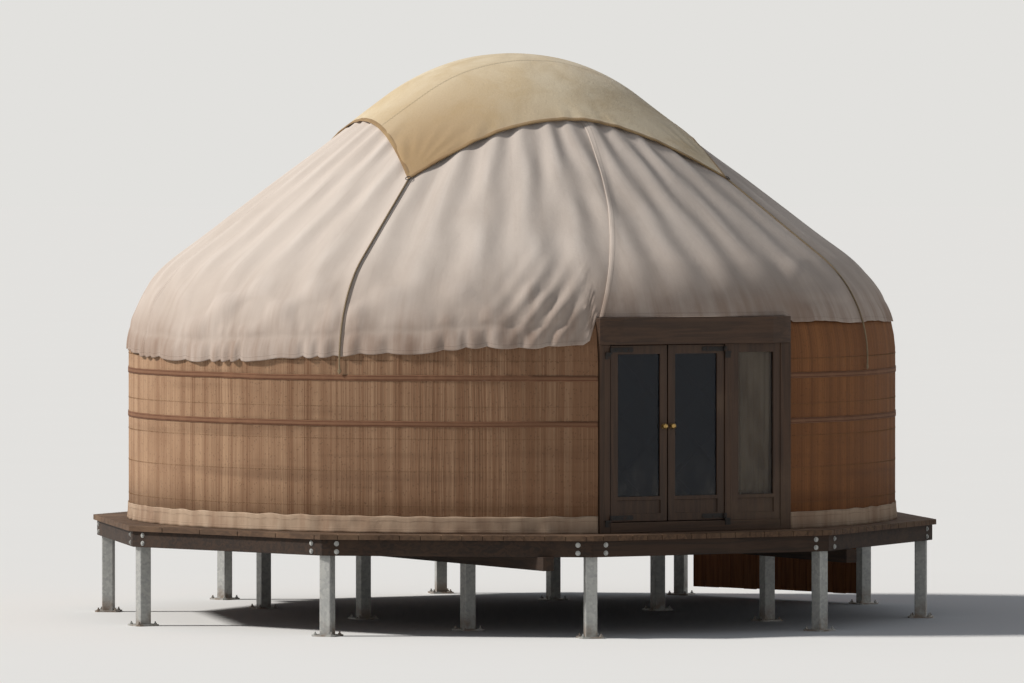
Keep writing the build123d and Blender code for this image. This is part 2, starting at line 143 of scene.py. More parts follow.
def climb_to_radius(radius):
    """Climb in to a radius on the straight roof or the dome."""
    radius = np.asarray(radius, float)
    slope = (SLOPE_FOOT - np.maximum(radius, DOME_JOIN)) / np.cos(PITCH)
    dome = PITCH - np.arcsin(np.minimum(radius, DOME_JOIN) / DOME_RADIUS)
    return SLOPE_START + slope + DOME_RADIUS * dome


def outward(turn):
    """Level unit way that points out from the axis at a turn."""
    return np.stack([np.sin(turn), -np.cos(turn), 0 * turn], axis=-1)


def aside(turn):
    """Level unit way that runs along the wall towards greater bearings."""
    return np.stack([np.cos(turn), np.sin(turn), 0 * turn], axis=-1)


def unit(way):
    return way / np.linalg.norm(way, axis=-1)[..., None]


def on_cover(bearing, climb, out):
    """Points at a bearing and a climb, moved out along the cover's normal."""
    radius, height, lean = cover_line(climb)
    radius = radius + out * np.cos(lean)
    height = height + out * np.sin(lean) + DECK_TOP
    turn = np.radians(bearing)
    across, ahead, up = np.broadcast_arrays(radius * np.sin(turn), -radius * np.cos(turn), height)
    return np.stack([across, ahead, up], axis=-1)


def smooth(value, low, high):
    """Rises from 0 at low to 1 at high with level ends: three times the square less twice the cube of the share."""
    share = np.clip((value - low) / (high - low), 0, 1)
    return share * share * (3 - 2 * share)


def bump_at(value, centre, width):
    """Bell curve round a centre: e to the minus square of the distance over the width."""
    return np.exp(-(((value - centre) / width) ** 2))


def ripples(bearing, seed, turns, count, climb=0, rise=(0, 1)):
    """Sum of slanting sine waves, about from -1 to 1; each goes a whole number of times round and meets itself."""
    pick = np.random.default_rng(seed)
    round_yurt = pick.integers(turns[0], turns[1], count) * pick.choice([-1, 1], count)
    up_cover = pick.uniform(rise[0], rise[1], count)
    phase = pick.uniform(0, 2 * np.pi, count)
    angle = np.radians(bearing)
    return sum(np.sin(angle * r + climb * u + p) for r, u, p in zip(round_yurt, up_cover, phase)) / np.sqrt(count)


def wrap(bearing):
    """The same bearing between -180 and 180."""
    return (np.asarray(bearing, float) + 180) % 360 - 180


def between_poles(bearing):
    """0 on a pole and 1 half way to the next: the squared sine of the share of the pole spacing."""
    away = np.abs(wrap(bearing))
    over_door = (FIRST_HEAD - away) / (FIRST_HEAD / 2)
    return np.sin(np.pi * np.where(away < FIRST_HEAD, over_door, (away - FIRST_HEAD) / HEAD_STEP)) ** 2


# Meshes


def grid_faces(rows, columns, close_rows=False, close_columns=False):
    """Four-sided faces of a grid of points stored row by row; the way of the rows x that of the columns is outwards."""
    row = np.arange(rows if close_rows else rows - 1)[:, None]
    column = np.arange(columns if close_columns else columns - 1)[None, :]
    next_row, next_column = (row + 1) % rows, (column + 1) % columns
    corners = [row * columns + column, next_row * columns + column]
    corners += [next_row * columns + next_column, row * columns + next_column]
    return np.stack(np.broadcast_arrays(*corners), axis=-1).reshape(-1, 4)


def copies(faces, count, size):
    """The same faces for each of many equal runs of points."""
    return (faces[None] + size * np.arange(count)[:, None, None]).reshape(-1, faces.shape[-1])


def ring_stacks(points, turned=False):
    """Points and faces of many stacks of rings, closed at both ends, from the shape (stacks, rings, sides, 3)."""
    count, rings, sides = points.shape[:3]
    ring = np.arange(sides)[None]
    face_sets = [grid_faces(rings, sides, close_columns=True), ring, ring[:, ::-1] + (rings - 1) * sides]
    return points.reshape(-1, 3), [copies(f[:, ::-1] if turned else f, count, rings * sides) for f in face_sets]


def tubes(paths, side, out, half_width, half_depth, sides=6, turned=False):
    """Many tubes at once: an ellipse of the two half sizes carried along each path.

    paths has the shape (tubes, steps, 3); the unit ways broadcast with it. A point is the path plus cosine times the
    half width sideways plus sine times the half depth outwards.
    """
    angle = (np.arange(sides) * 2 * np.pi / sides)[:, None]
    half_width, half_depth = (np.broadcast_to(h, paths.shape[:2])[..., None, None] for h in (half_width, half_depth))
    side = np.broadcast_to(side, paths.shape)[:, :, None] * np.cos(angle)
    out = np.broadcast_to(out, paths.shape)[:, :, None] * np.sin(angle)
    return ring_stacks(paths[:, :, None] + side * half_width + out * half_depth, turned)


def studs(place, side, up, profile, sides=8):
    """Many small turned pieces at once.

    Round each place lie rings of points: side times the cosine and up times the sine of the angle, both times the
    ring's radius, moved out by the ring's lift. Out is side times up. A radius may differ from side to side.
    """
    angle = (np.arange(sides) * 2 * np.pi / sides)[:, None]
    place, side, up = np.broadcast_arrays(np.atleast_2d(place), side, up)
    out = np.cross(side, up)[:, None]
    way = side[:, None] * np.cos(angle) + up[:, None] * np.sin(angle)
    rings = [place[:, None] + way * np.broadcast_to(radius, sides)[:, None] + out * lift for radius, lift in profile]
    return ring_stacks(np.stack(rings, axis=1), turned=True)


def hexagon(radius, sides=12):
    """Radius at each of the sides' angles of a hexagon whose flats lie at a distance from its centre."""
    angle = np.arange(sides) * 2 * np.pi / sides
    return radius / np.cos((angle + np.pi / 6) % (np.pi / 3) - np.pi / 6)


def boxes(low, high):
    """Many upright boxes at once, from arrays of their lowest and highest corners."""
    pick = np.array([[x, y, z] for z in (0, 1) for y in (0, 1) for x in (0, 1)])
    one = np.array([[0, 2, 3, 1], [4, 5, 7, 6], [0, 1, 5, 4], [2, 6, 7, 3], [0, 4, 6, 2], [1, 3, 7, 5]])
    return np.where(pick[None], high[:, None], low[:, None]).reshape(-1, 3), [copies(one, len(low), 8)]


def mesh_piece(name, points, face_sets, smooth_faces=True, uv=None, numbers=None):
    """New object from an array of points and arrays of faces, with a UV per point and named numbers per point."""
    points = np.asarray(points, float).reshape(-1, 3)
    corners = np.concatenate([faces.ravel() for faces in face_sets])
    lengths = np.concatenate([np.full(len(faces), faces.shape[1]) for faces in face_sets])
    mesh = bpy.data.meshes.new(name)
    mesh.vertices.add(len(points))
    mesh.vertices.foreach_set("co", points.ravel())
    mesh.loops.add(len(corners))
    mesh.loops.foreach_set("vertex_index", corners)
    mesh.polygons.add(len(lengths))
    mesh.polygons.foreach_set("loop_start", np.concatenate([[0], np.cumsum(lengths)[:-1]]))
    mesh.polygons.foreach_set("loop_total", lengths)
    mesh.polygons.foreach_set("use_smooth", np.full(len(lengths), smooth_faces))
    if uv is not None:
        layer = mesh.uv_layers.new(name="UVMap")
        layer.data.foreach_set("uv", np.asarray(uv, float).reshape(-1, 2)[corners].ravel())
    for key, values in (numbers or {}).items():
        mesh.attributes.new(key, "FLOAT", "POINT").data.foreach_set("value", np.asarray(values, float).ravel())
    mesh.update(calc_edges=True)
    mesh.validate()
    piece = bpy.data.objects.new(name, mesh)
    bpy.context.scene.collection.objects.link(piece)
    return piece


def thicken(piece, name, thickness):
    """Give a sheet its thickness, half to each side."""
    wall = piece.modifiers.new(name, "SOLIDIFY")
    wall.thickness = thickness
    wall.offset = 0
    return piece


def set_finish(piece, material):
    piece.data.materials.clear()
    piece.data.materials.append(material)


def seat(piece, material, body="yurt", replaces=()):
    """Finish a new piece, let it ride on its body and stand for the nodes that it replaces."""
    set_finish(piece, material)
    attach(piece, body)
    if replaces:
        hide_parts(*replaces)
    return piece


def dress(material, *nodes):
    """Give nodes of the frame their material."""
    for node in nodes:
        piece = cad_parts[node]
        set_finish(piece, material)
        for face in piece.material_slots:
            face.link = "DATA"


def eased(node, material, edge, body="yurt"):
    """Copy of a node with its corners eased: points merged, flat faces joined, then a small bevel on every edge."""
    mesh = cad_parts[node].data.copy()
    work = bmesh.new()
    work.from_mesh(mesh)
    bmesh.ops.remove_doubles(work, verts=work.verts, dist=0.00002)
    bmesh.ops.dissolve_limit(work, angle_limit=0.01, verts=work.verts, edges=work.edges)
    work.to_mesh(mesh)
    work.free()
    piece = bpy.data.objects.new(f"{node}_eased", mesh)
    bpy.context.scene.collection.objects.link(piece)
    bevel = piece.modifiers.new("Eased corners", "BEVEL")
    bevel.width = edge
    bevel.segments = 2
    bevel.limit_method = "ANGLE"
    bevel.angle_limit = 0.6
    seat(piece, material, body, (node,))


# Finishes


def operation(kind, turned=False):
    """Method of a Value that is one operation of the Math node; turned puts the value second."""

    def method(self, other=0.0):
        first, second = (other, self) if turned else (self, other)
        return self.finish.value("ShaderNodeMath", {"operation": kind}, {0: first, 1: second})

    return method


class Value:
    """A number, colour or vector on its way through a material's nodes."""

    def __init__(self, finish, socket):
        self.finish = finish
        self.socket = socket

    __add__, __radd__ = operation("ADD"), operation("ADD", True)
    __sub__, __rsub__ = operation("SUBTRACT"), operation("SUBTRACT", True)
    __mul__, __rmul__ = operation("MULTIPLY"), operation("MULTIPLY", True)
    __gt__, __lt__ = operation("GREATER_THAN"), operation("LESS_THAN")
    __pow__, __abs__ = operation("POWER"), operation("ABSOLUTE")
    sine, fraction = operation("SINE"), operation("FRACT")

    def ramp(self, low, high):
        """0 at low and 1 at high, with level ends."""
        inputs = {"Value": self, "From Min": low, "From Max": high}
        return self.finish.value("ShaderNodeMapRange", {"interpolation_type": "SMOOTHSTEP"}, inputs)

    def fall(self, low, high):
        """1 at low and 0 at high, with level ends."""
        return 1 - self.ramp(low, high)


class Finish:
    """A material whose nodes are made from expressions."""

    def __init__(self, name):
        self.material = bpy.data.materials.new(name)
        self.material.use_nodes = True
        self.tree = self.material.node_tree

    def give(self, node, inputs):
        """Link or set the inputs of a node."""
        for key, given in inputs.items():
            if isinstance(given, Value):
                self.tree.links.new(given.socket, node.inputs[key])
            else:
                node.inputs[key].default_value = given
        return node

    def node(self, kind, settings, inputs):
        node = self.tree.nodes.new(kind)
        for key, setting in (settings or {}).items():
            setattr(node, key, setting)
        return self.give(node, inputs or {})

    def value(self, kind, settings=None, inputs=None, output=0):
        return Value(self, self.node(kind, settings, inputs).outputs[output])

    def place(self, scale=(1, 1, 1), offset=(0, 0, 0)):
        """Object coordinates, scaled and moved."""
        coordinates = self.value("ShaderNodeTexCoord", output="Object")
        return self.value("ShaderNodeMapping", None, {"Vector": coordinates, "Scale": scale, "Location": offset})

    def split(self, kind):
        """Object or UV coordinates as numbers; UV ones are in metres across and along the cloth."""
        node = self.node("ShaderNodeSeparateXYZ", None, {0: self.value("ShaderNodeTexCoord", output=kind)})
        return [Value(self, socket) for socket in node.outputs][: 2 if kind == "UV" else 3]

    def number(self, key):
        """A named number of the mesh."""
        return self.value("ShaderNodeAttribute", {"attribute_name": key}, None, "Fac")

    def vector(self, x, y, z=0.0):
        return self.value("ShaderNodeCombineXYZ", None, {0: x, 1: y, 2: z})

    def noise(self, where, scale, detail=4.0, roughness=0.55, distortion=0.0):
        inputs = {"Scale": scale, "Detail": detail, "Roughness": roughness, "Distortion": distortion}
        return self.value("ShaderNodeTexNoise", None, {"Vector": where} | inputs)

    def coats(self, colour, *coats):
        """A colour under coats of (share, colour), one over the other."""
        for share, coat in coats:
            under, over = (c if isinstance(c, Value) else (*c, 1) for c in (colour, coat))
            colour = self.value("ShaderNodeMix", {"data_type": "RGBA"}, {0: share, 6: under, 7: over}, 2)
        return colour

    def done(self, colour, roughness, height=None, relief=0.001, **others):
        """Link the colour, roughness and relief to the surface, and link or set its other sockets."""
        inputs = {"Base Color": colour, "Roughness": roughness}
        if height is not None:
            bump = {"Height": height, "Distance": relief, "Strength": 1.0}
            inputs["Normal"] = self.value("ShaderNodeBump", None, bump)
        inputs |= {key.replace("_", " "): given for key, given in others.items()}
        self.give(self.tree.nodes["Principled BSDF"], inputs)
        return self.material


def canvas_finish(name, light, stain, dust, low_darkening):
    """Sun-bleached canvas: clouds and run-off streaks, dust at the hem and darker above it, painted shade in the dips
    of the cloth, double stitching along the seams.
    """
    f = Finish(name)
    across, along = f.split("UV")
    hem, edge, crease = (f.number(key) for key in ("hem", "edge", "crease"))
    clouds = f.noise(f.place(), 1.3, 5.0, 0.6)
    streaks = f.noise(f.vector(across * 9.0, along * 0.9), 1.0, 5.0, 0.6)
    fibres = f.noise(f.vector(across, along), 420.0, 3.0, 0.7)
    crumple = f.noise(f.place(), 14.0, 5.0, 0.6, 0.6)
    seams = abs(edge - 0.009).fall(0.0006, 0.0016) + abs(edge - 0.036).fall(0.0006, 0.0016)
    hem_row = abs(hem - 0.03).fall(0.0006, 0.0016) * ((across * 125.0).fraction() > 0.35)
    stitches = seams * ((along * 125.0).fraction() > 0.35) + hem_row
    fold = edge.fall(0.038, 0.044) + hem.fall(0.033, 0.038)
    colour = f.coats(
        light,
        ((streaks.ramp(0.46, 0.78) * 0.5 + clouds.ramp(0.42, 0.8) * 0.5) * 0.8, stain),
        (hem.fall(0.02, 0.42) * (streaks * 0.8 + clouds * 0.9).ramp(0.5, 1.2) * 0.9, dust),
        # darker over about a metre above the hem, mixed towards the dust colour
        (hem.fall(0.05, 1.1) * (0.7 + streaks * 0.6) * low_darkening, dust),
        # painted shade: the stain colour darkens the cloth where it dips in, between the poles and in the gathers
        (crease.fall(-0.9, 0.2) * 0.35, stain),
        (stitches * 0.55, shade(dust, 0.35)),
    )
    height = fibres * 0.25 + crumple * 1.6 + fold * 0.6 - stitches * 0.5
    return f.done(colour, 0.86 + fibres * 0.1, height, 0.0016, Specular_IOR_Level=0.25)


def felt_finish(name, light, deep, dust):
    """Matted wool felt: blotches of ochre and straw, fine fibres, worn and dusty towards one corner."""
    f = Finish(name)
    blotch = f.noise(f.place(), 2.1, 6.0, 0.62, 0.4)
    patch = f.noise(f.place(offset=(4, 2, 9)), 0.9, 3.0, 0.5)
    hairs = f.noise(f.place(), 260.0, 4.0, 0.75, 1.2)
    lumps = f.noise(f.place(), 34.0, 4.0, 0.6)
    across, along = f.split("UV")
    beside_seam = abs(abs(along) - FELT_HALF / 3)
    stitch = beside_seam.fall(0.010, 0.013) * ((across * 45.0 + along * 45.0).fraction() < 0.22)
    from_left, from_front = across + FADE_CORNER, along + FADE_CORNER
    to_corner = (from_left * from_left + from_front * from_front) ** 0.5
    colour = f.coats(
        light,
        (blotch.ramp(0.34, 0.72), deep),
        (patch.ramp(0.5, 0.78) * 0.55, dust),
        ((to_corner + blotch * 0.5).fall(0.45, 1.7) * 0.9, dust),
        (hairs.ramp(0.45, 0.8) * 0.25, shade(deep, 0.6)),
        (beside_seam.fall(0.0, 0.012) * 0.35, shade(deep, 0.6)),
        (stitch * 0.8, shade(deep, 0.3)),
    )
    height = hairs * 0.5 + lumps * 1.2 + stitch * 0.8
    return f.done(colour, 0.93, height, 0.0022, Specular_IOR_Level=0.15, Sheen_Weight=0.15, Sheen_Roughness=0.6)


def reed_finish(name, straw, bark, dark):
    """Dry reeds: each stem with its own tint, which on the left mats also carries painted shade near the door, darker
    nodes along it, split fibres and weathered bands.
    """
    f = Finish(name)
    x, y, z = f.split("Object")
    node = abs((z * 3.1 + f.number("stem") * 7.3).fraction() - 0.5).fall(0.005, 0.022)
    fibre = f.noise(f.vector(x * 260.0, y * 260.0, z * 7.0), 1.0, 3.0, 0.6)
    weather = f.noise(f.place((1, 1, 0.7)), 1.7, 5.0, 0.6)
    bands = f.noise(f.vector(x * 0.25, y * 0.25, z * 5.0), 1.0, 4.0, 0.55)
    colour = f.coats(
        straw,
        (f.number("tint"), bark),
        (weather.ramp(0.42, 0.74) * 0.55, bark),
        (bands.ramp(0.5, 0.72) * 0.35, dark),
        (fibre.ramp(0.5, 0.85) * 0.35, dark),
        (node * 0.35, shade(dark, 0.5)),
    )
    return f.done(colour, 0.62 + fibre * 0.2, fibre * 0.5 + node * 0.8, 0.0007, Specular_IOR_Level=0.35)


def weave_finish(name, ground, figure, dark):
    """Woven wool tape: two lengthwise stripes, threads that slant to a point in the middle, and a dusty nap."""
    f = Finish(name)
    along, across = f.split("UV")
    stripe = abs(abs(across) - 0.0125).fall(0.0028, 0.0042)
    thread = (along * 900.0 + abs(across) * 900.0).sine() * 0.5 + 0.5
    wear = f.noise(f.place(), 6.0, 4.0, 0.6)
    worn = (wear.ramp(0.45, 0.8) * 0.4, shade(ground, 1.3))
    colour = f.coats(ground, (stripe, figure), (thread * 0.3, dark), worn)
    return f.done(colour, 0.9, thread * 0.6 + stripe * 0.3, 0.0008, Specular_IOR_Level=0.2)


def rope_finish(name, light, dark):
    """Hair rope: fibres that run with each strand, and darker patches."""
    f = Finish(name)
    across, along = f.split("UV")
    fibre = f.noise(f.vector(across * 30.0, along * 40.0), 12.0, 4.0, 0.7)
    patch = f.noise(f.place(), 9.0, 3.0, 0.5)
    colour = f.coats(light, (fibre.ramp(0.35, 0.7), dark), (patch.ramp(0.5, 0.8) * 0.5, dark))
    return f.done(colour, 0.92, fibre, 0.0006, Specular_IOR_Level=0.2)


def timber_finish(name, way, light, dark, worn, roughness, grain=1.0):
    """Timber with its grain along one way: stretched rings, fine pores, a tint for each board, and dust where worn."""
    f = Finish(name)
    x, y, z = f.split("Object")
    tinted = ()
    if way == "round":
        turn = f.value("ShaderNodeMath", {"operation": "ARCTAN2"}, {0: x, 1: -1 * y}) * 60.0
        flow = (x * x + y * y) ** 0.5 * 1.2 + z * 1.2
        rings = f.vector(turn, flow, z * 3.0)
        pores = f.vector(turn * 9.0, flow * 6.0, z * 9.0)
    else:
        stretch = {"x": (0.05, 1, 1), "y": (1, 0.05, 1), "z": (1, 1, 0.05)}[way]
        tint = f.number("tint")
        tinted = ((tint * 0.45, dark),)
        shift = tint * 9.0
        parts = [axis * (s * 26.0 * grain) for axis, s in zip((x, y, z), stretch)]
        rings = f.vector(parts[0] + shift, parts[1] + shift * 1.7, parts[2] + shift * 2.3)
        pores = f.vector(*[part * 9.0 for part in parts])
    figure = f.noise(rings, 1.0, 4.0, 0.55, 1.1)
    pore = f.noise(pores, 1.0, 3.0, 0.7)
    colour = f.coats(
        light,
        (figure.ramp(0.36, 0.66), dark),
        (pore.ramp(0.52, 0.8) * 0.5, shade(dark, 0.45)),
        *tinted,
        (f.noise(f.place(), 1.9, 4.0, 0.55).ramp(0.48, 0.8) * 0.5, worn),
    )
    return f.done(colour, roughness + pore * 0.2, figure * 0.5 + pore * 0.8, 0.0006, Specular_IOR_Level=0.35)


def zinc_finish(name, light, dull):
    """Hot-dip galvanised steel: large spangles of differing grey, chalky bloom and a rusty splash at the foot."""
    f = Finish(name)
    spangle = f.value("ShaderNodeTexVoronoi", None, {"Vector": f.place(), "Scale": 55.0}, "Color")
    tone = f.value("ShaderNodeSeparateXYZ", None, {0: spangle})
    bloom = f.noise(f.place(), 9.0, 5.0, 0.6)
    splash = f.split("Object")[2].fall(0.0, 0.16) * bloom.ramp(0.35, 0.65)
    chalk = (bloom.ramp(0.5, 0.75) * 0.5, shade(light, 1.15))
    colour = f.coats(light, (tone * 0.6, dull), chalk, (splash * 0.75, linear(121, 96, 74)))
    return f.done(colour, 0.5 + bloom * 0.3, tone * 0.3 + bloom, 0.0003, Metallic=0.55)


def iron_finish(name, colour, rust):
    """Blackened iron with a hammered face and a bloom of rust."""
    f = Finish(name)
    dents = f.noise(f.place(), 60.0, 3.0, 0.5)
    bloom = f.noise(f.place(), 24.0, 5.0, 0.65)
    colour = f.coats(colour, (bloom.ramp(0.52, 0.75) * 0.7, rust))
    return f.done(colour, 0.45 + bloom * 0.35, dents, 0.0012, Metallic=0.7)


def brass_finish(name, bright, tarnish):
    """Turned brass with fine lines from the lathe and a brown film in patches."""
    f = Finish(name)
    film = f.noise(f.place(), 40.0, 4.0, 0.6)
    lines = f.noise(f.place((1, 60, 1)), 12.0, 2.0, 0.5)
    colour = f.coats(bright, (film.ramp(0.4, 0.7), tarnish))
    return f.done(colour, 0.22 + film * 0.3, lines, 0.0002, Metallic=1.0)


def glass_finish(name, tint, cover):
    """Window glass with a near-black tint over a share of the pane that paints the shade of the unlit room behind it,
    dusty at the bottom of the pane; cover is the share of the pane under that painted shade.
    """
    f = Finish(name)
    film = f.noise(f.place((6, 6, 2)), 3.0, 4.0, 0.6)
    low = (f.split("Object")[2] - DECK_TOP).fall(0.25, 0.6)
    dust = low * film.ramp(0.4, 0.8) * 0.4 + film.ramp(0.55, 0.85) * 0.06
    # painted shade: tint and cover darken the pane to stand for the dark room behind it; the dust is real
    colour = f.coats(tint, (dust, linear(112, 104, 94)))
    return f.done(colour, 0.04 + dust * 0.6, Specular_IOR_Level=0.3, Alpha=dust * 0.4 + cover)


def curtain_finish(name, light, dark):
    """Unbleached cotton with a fine weave and a faded fall."""
    f = Finish(name)
    across, along = f.split("UV")
    weft = f.noise(f.vector(across * 1400.0, along * 90.0), 1.0, 2.0, 0.5)
    warp = f.noise(f.vector(across * 90.0, along * 1400.0), 1.0, 2.0, 0.5)
    fade = f.noise(f.place((3, 3, 1)), 2.0, 4.0, 0.5)
    return f.done(f.coats(light, (fade.ramp(0.4, 0.7), dark)), 0.92, weft + warp, 0.0003, Specular_IOR_Level=0.2)


# Sizes and colours that a user would change


def length(name, description, default):
    return bpy.props.FloatProperty(name=name, description=description, default=default, unit="LENGTH")


def tone(name, description, default):
    return bpy.props.FloatVectorProperty(name=name, description=description, default=default, subtype="COLOR")


class YurtSizes(bpy.types.PropertyGroup):
    """Sizes of the cloth, reeds and boards."""

    canvas_thickness: length("Canvas thickness", "Thickness of the roof canvas", 0.003)
    canvas_sag: length("Canvas sag", "How far the canvas dips between two poles", 0.02)
    hem_gather: length("Hem gathers", "Depth of the gathers along the hem", 0.017)
    felt_thickness: length("Felt thickness", "Thickness of the crown cover", 0.008)
    rope_width: length("Rope", "Diameter of the corner ropes", 0.0134)
    reed_spacing: length("Reed spacing", "Distance between the middles of two reeds", 0.009)
    board_width: length("Deck board", "Width of a deck board with its gap", 0.125)
    board_gap: length("Board gap", "Gap between two deck boards", 0.005)
    eased_edge: length("Eased edge", "Bevel on the corners of planed timber", 0.003)


class YurtColours(bpy.types.PropertyGroup):
    """Colours of the cloth, reed and timber."""

    # this colour is both the canvas's weathering and the painted shade in its dips
    canvas: tone("Canvas", "Bleached roof canvas", linear(219, 208, 198))
    canvas_stain_and_crease_shade: tone("Canvas stain", "Weathered canvas", linear(186, 172, 160))
    canvas_dust: tone("Canvas dust", "Dust at the hem", linear(142, 118, 102))
    felt: tone("Felt", "Crown cover", linear(226, 210, 180))
    felt_deep: tone("Felt blotches", "Darker ochre of the crown cover", linear(204, 181, 142))
    reed: tone("Reed", "Lightest reeds", linear(186, 152, 121))
    reed_bark: tone("Reed bark", "Browner reeds", linear(142, 105, 77))
    ruddy_reed: tone("Ruddy reed", "Reeds of the sheltered side", linear(146, 96, 54))
    ruddy_bark: tone("Ruddy bark", "Browner reeds of that side", linear(110, 68, 36))
    door: tone("Door timber", "Stained door timber", linear(72, 51, 36))
    deck: tone("Deck boards", "Weathered deck boards", linear(98, 74, 55))
    backdrop: tone("Backdrop", "Pale backdrop", linear(226, 225, 222))
    floor: tone("Floor", "Floor that the light turns as pale as the backdrop", (0.9, 0.9, 0.885))


def sizes():
    return bpy.context.scene.yurt_sizes


def colours():
    return bpy.context.scene.yurt_colours


# Roof canvas

HEM_BEARINGS = np.array([-166.4, -121.4, -98.0, -76.4, -31.4, -17.5, -16.2, 16.2, 17.5, 40.0, 58.6, 103.6, 148.6])
HEM_HEIGHTS = np.array([1.42, 1.34, 1.27, 1.255, 1.375, 1.40, 1.603, 1.603, 1.555, 1.54, 1.52, 1.50, 1.46])
CANVAS_PANELS = ["front", "right_front", "right", "right_rear", "rear", "left_rear", "left", "left_front"]
SEAM_OVERLAP = 0.022


def fullness(bearing):
    """Share of loose cloth at the hem: most on the door's left, less on the other sides, none over the door."""
    bearing = wrap(bearing)
    left = np.maximum(bump_at(bearing, -72, 30), 0.8 * bump_at(bearing, -32, 13))
    return (0.38 + 0.75 * left) * smooth(np.abs(bearing), 16.5, 22)


def gather(bearing):
    """Round crests of a hem in folds of about 0.23 m: a root of the sine's absolute value, its phase uneven."""
    phase = np.radians(bearing) * 40 + 1.7 * ripples(bearing, 6, (7, 31), 7)
    return np.abs(np.sin(phase)) ** 0.7


def hem_height(bearing):
    """Height of the canvas hem above the floor: straight between its bearings, lower where a fold stands out."""
    height = np.interp(wrap(bearing), HEM_BEARINGS, HEM_HEIGHTS, period=360)
    wave = 0.006 * ripples(bearing, 5, (9, 30), 6) * smooth(np.abs(wrap(bearing)), 17.5, 24)
    return height + wave - 0.022 * (gather(bearing) - 0.6) * fullness(bearing)


def seam_bearing(number, climb):
    """Bearing of a canvas seam: straight up the roof, but the flap left of the door leans over towards the crown."""
    straight = CANVAS_SEAM + 45.0 * number
    if number % 8:
        return np.full_like(climb, straight)
    turns_at = [climb_to_height(1.4), climb_to_radius(2.38), climb_to_radius(1.3)]
    return straight + (np.interp(climb, turns_at, [-16.6, -10.0, -1.5]) - CANVAS_SEAM)


def cloth_out(bearing, climb):
    """How far the canvas stands out from the cover's face.

    It dips between the poles by a squared sine and is drawn in 0.17 m above its hem, with gathers under that line
    and loose swells over it. Slanting folds lie left of the door. Under each rope the cloth lies flat between swells.
    """
    radius, height, _ = cover_line(climb)
    bearing = wrap(bearing)
    above_hem = climb - climb_to_height(hem_height(bearing))
    full = fullness(bearing)

    roof = smooth(height, 1.68, 2.0) * (1 - smooth(climb, DOME_START - 0.35, DOME_START - 0.05))
    out = -0.0045 - sizes().canvas_sag * between_poles(bearing) * roof
    out = out + 0.0022 * ripples(bearing, 1, (24, 70), 12, climb, (3, 12))

    fine = ripples(bearing, 2, (60, 130), 9, climb, (1, 5))
    below_draw = 1 - smooth(above_hem, 0.05, 0.2)
    out = out + sizes().hem_gather * full * below_draw * (1.5 * gather(bearing) - 0.2 + 0.25 * fine)
    out = out - 0.008 * full * bump_at(above_hem, 0.17 + 0.012 * ripples(bearing, 3, (10, 40), 6), 0.022)
    out = out + 0.010 * full * bump_at(above_hem, 0.23, 0.07) * (gather(bearing + 1.3) - 0.3)
    swell = np.maximum(ripples(bearing, 4, (12, 34), 8, climb, (6, 14)), -0.5)
    out = out + 0.019 * full * bump_at(above_hem, 0.42, 0.2) * swell

    across, up = np.radians(bearing + 23.0) * 2.9, height - 1.62
    fold_area = bump_at(across, 0.0, 0.3) * bump_at(up, 0.0, 0.3) * (bearing < -15)
    out = out + 0.014 * fold_area * np.sin(2 * np.pi * (across * 0.78 - up * 0.62) / 0.13)

    beside_rope = np.abs((bearing - CANVAS_SEAM) % 90 - 45) * np.pi / 180 * radius
    out = out + 0.011 * bump_at(beside_rope, 0.12, 0.055) * bump_at(above_hem, 0.25, 0.3)
    under_rope = bump_at(beside_rope, 0, 0.045) * smooth(height, 1.1, 1.25)
    over_door = (1 - smooth(np.abs(bearing), 16.5, 19)) * (1 - smooth(above_hem, 0.05, 0.3))
    for flat in (under_rope, over_door):
        out = out * (1 - flat) - 0.004 * flat
    below_felt = smooth(climb, climb_to_radius(CROWN_COVER_CORNER + 0.1), climb_to_radius(CROWN_COVER_CORNER))
    return np.where(below_felt > 0, np.minimum(out, 0.02 - 0.021 * below_felt), out)


def kept_off_frame(out, bearing, climb):
    """The same stand-out, but never deeper than the face of the mats and poles; between the poles it may dip."""
    roof = smooth(cover_line(climb)[1], 1.62, 1.8)
    return np.maximum(out, -0.0085 - (sizes().canvas_sag + 0.004) * between_poles(bearing) * roof)


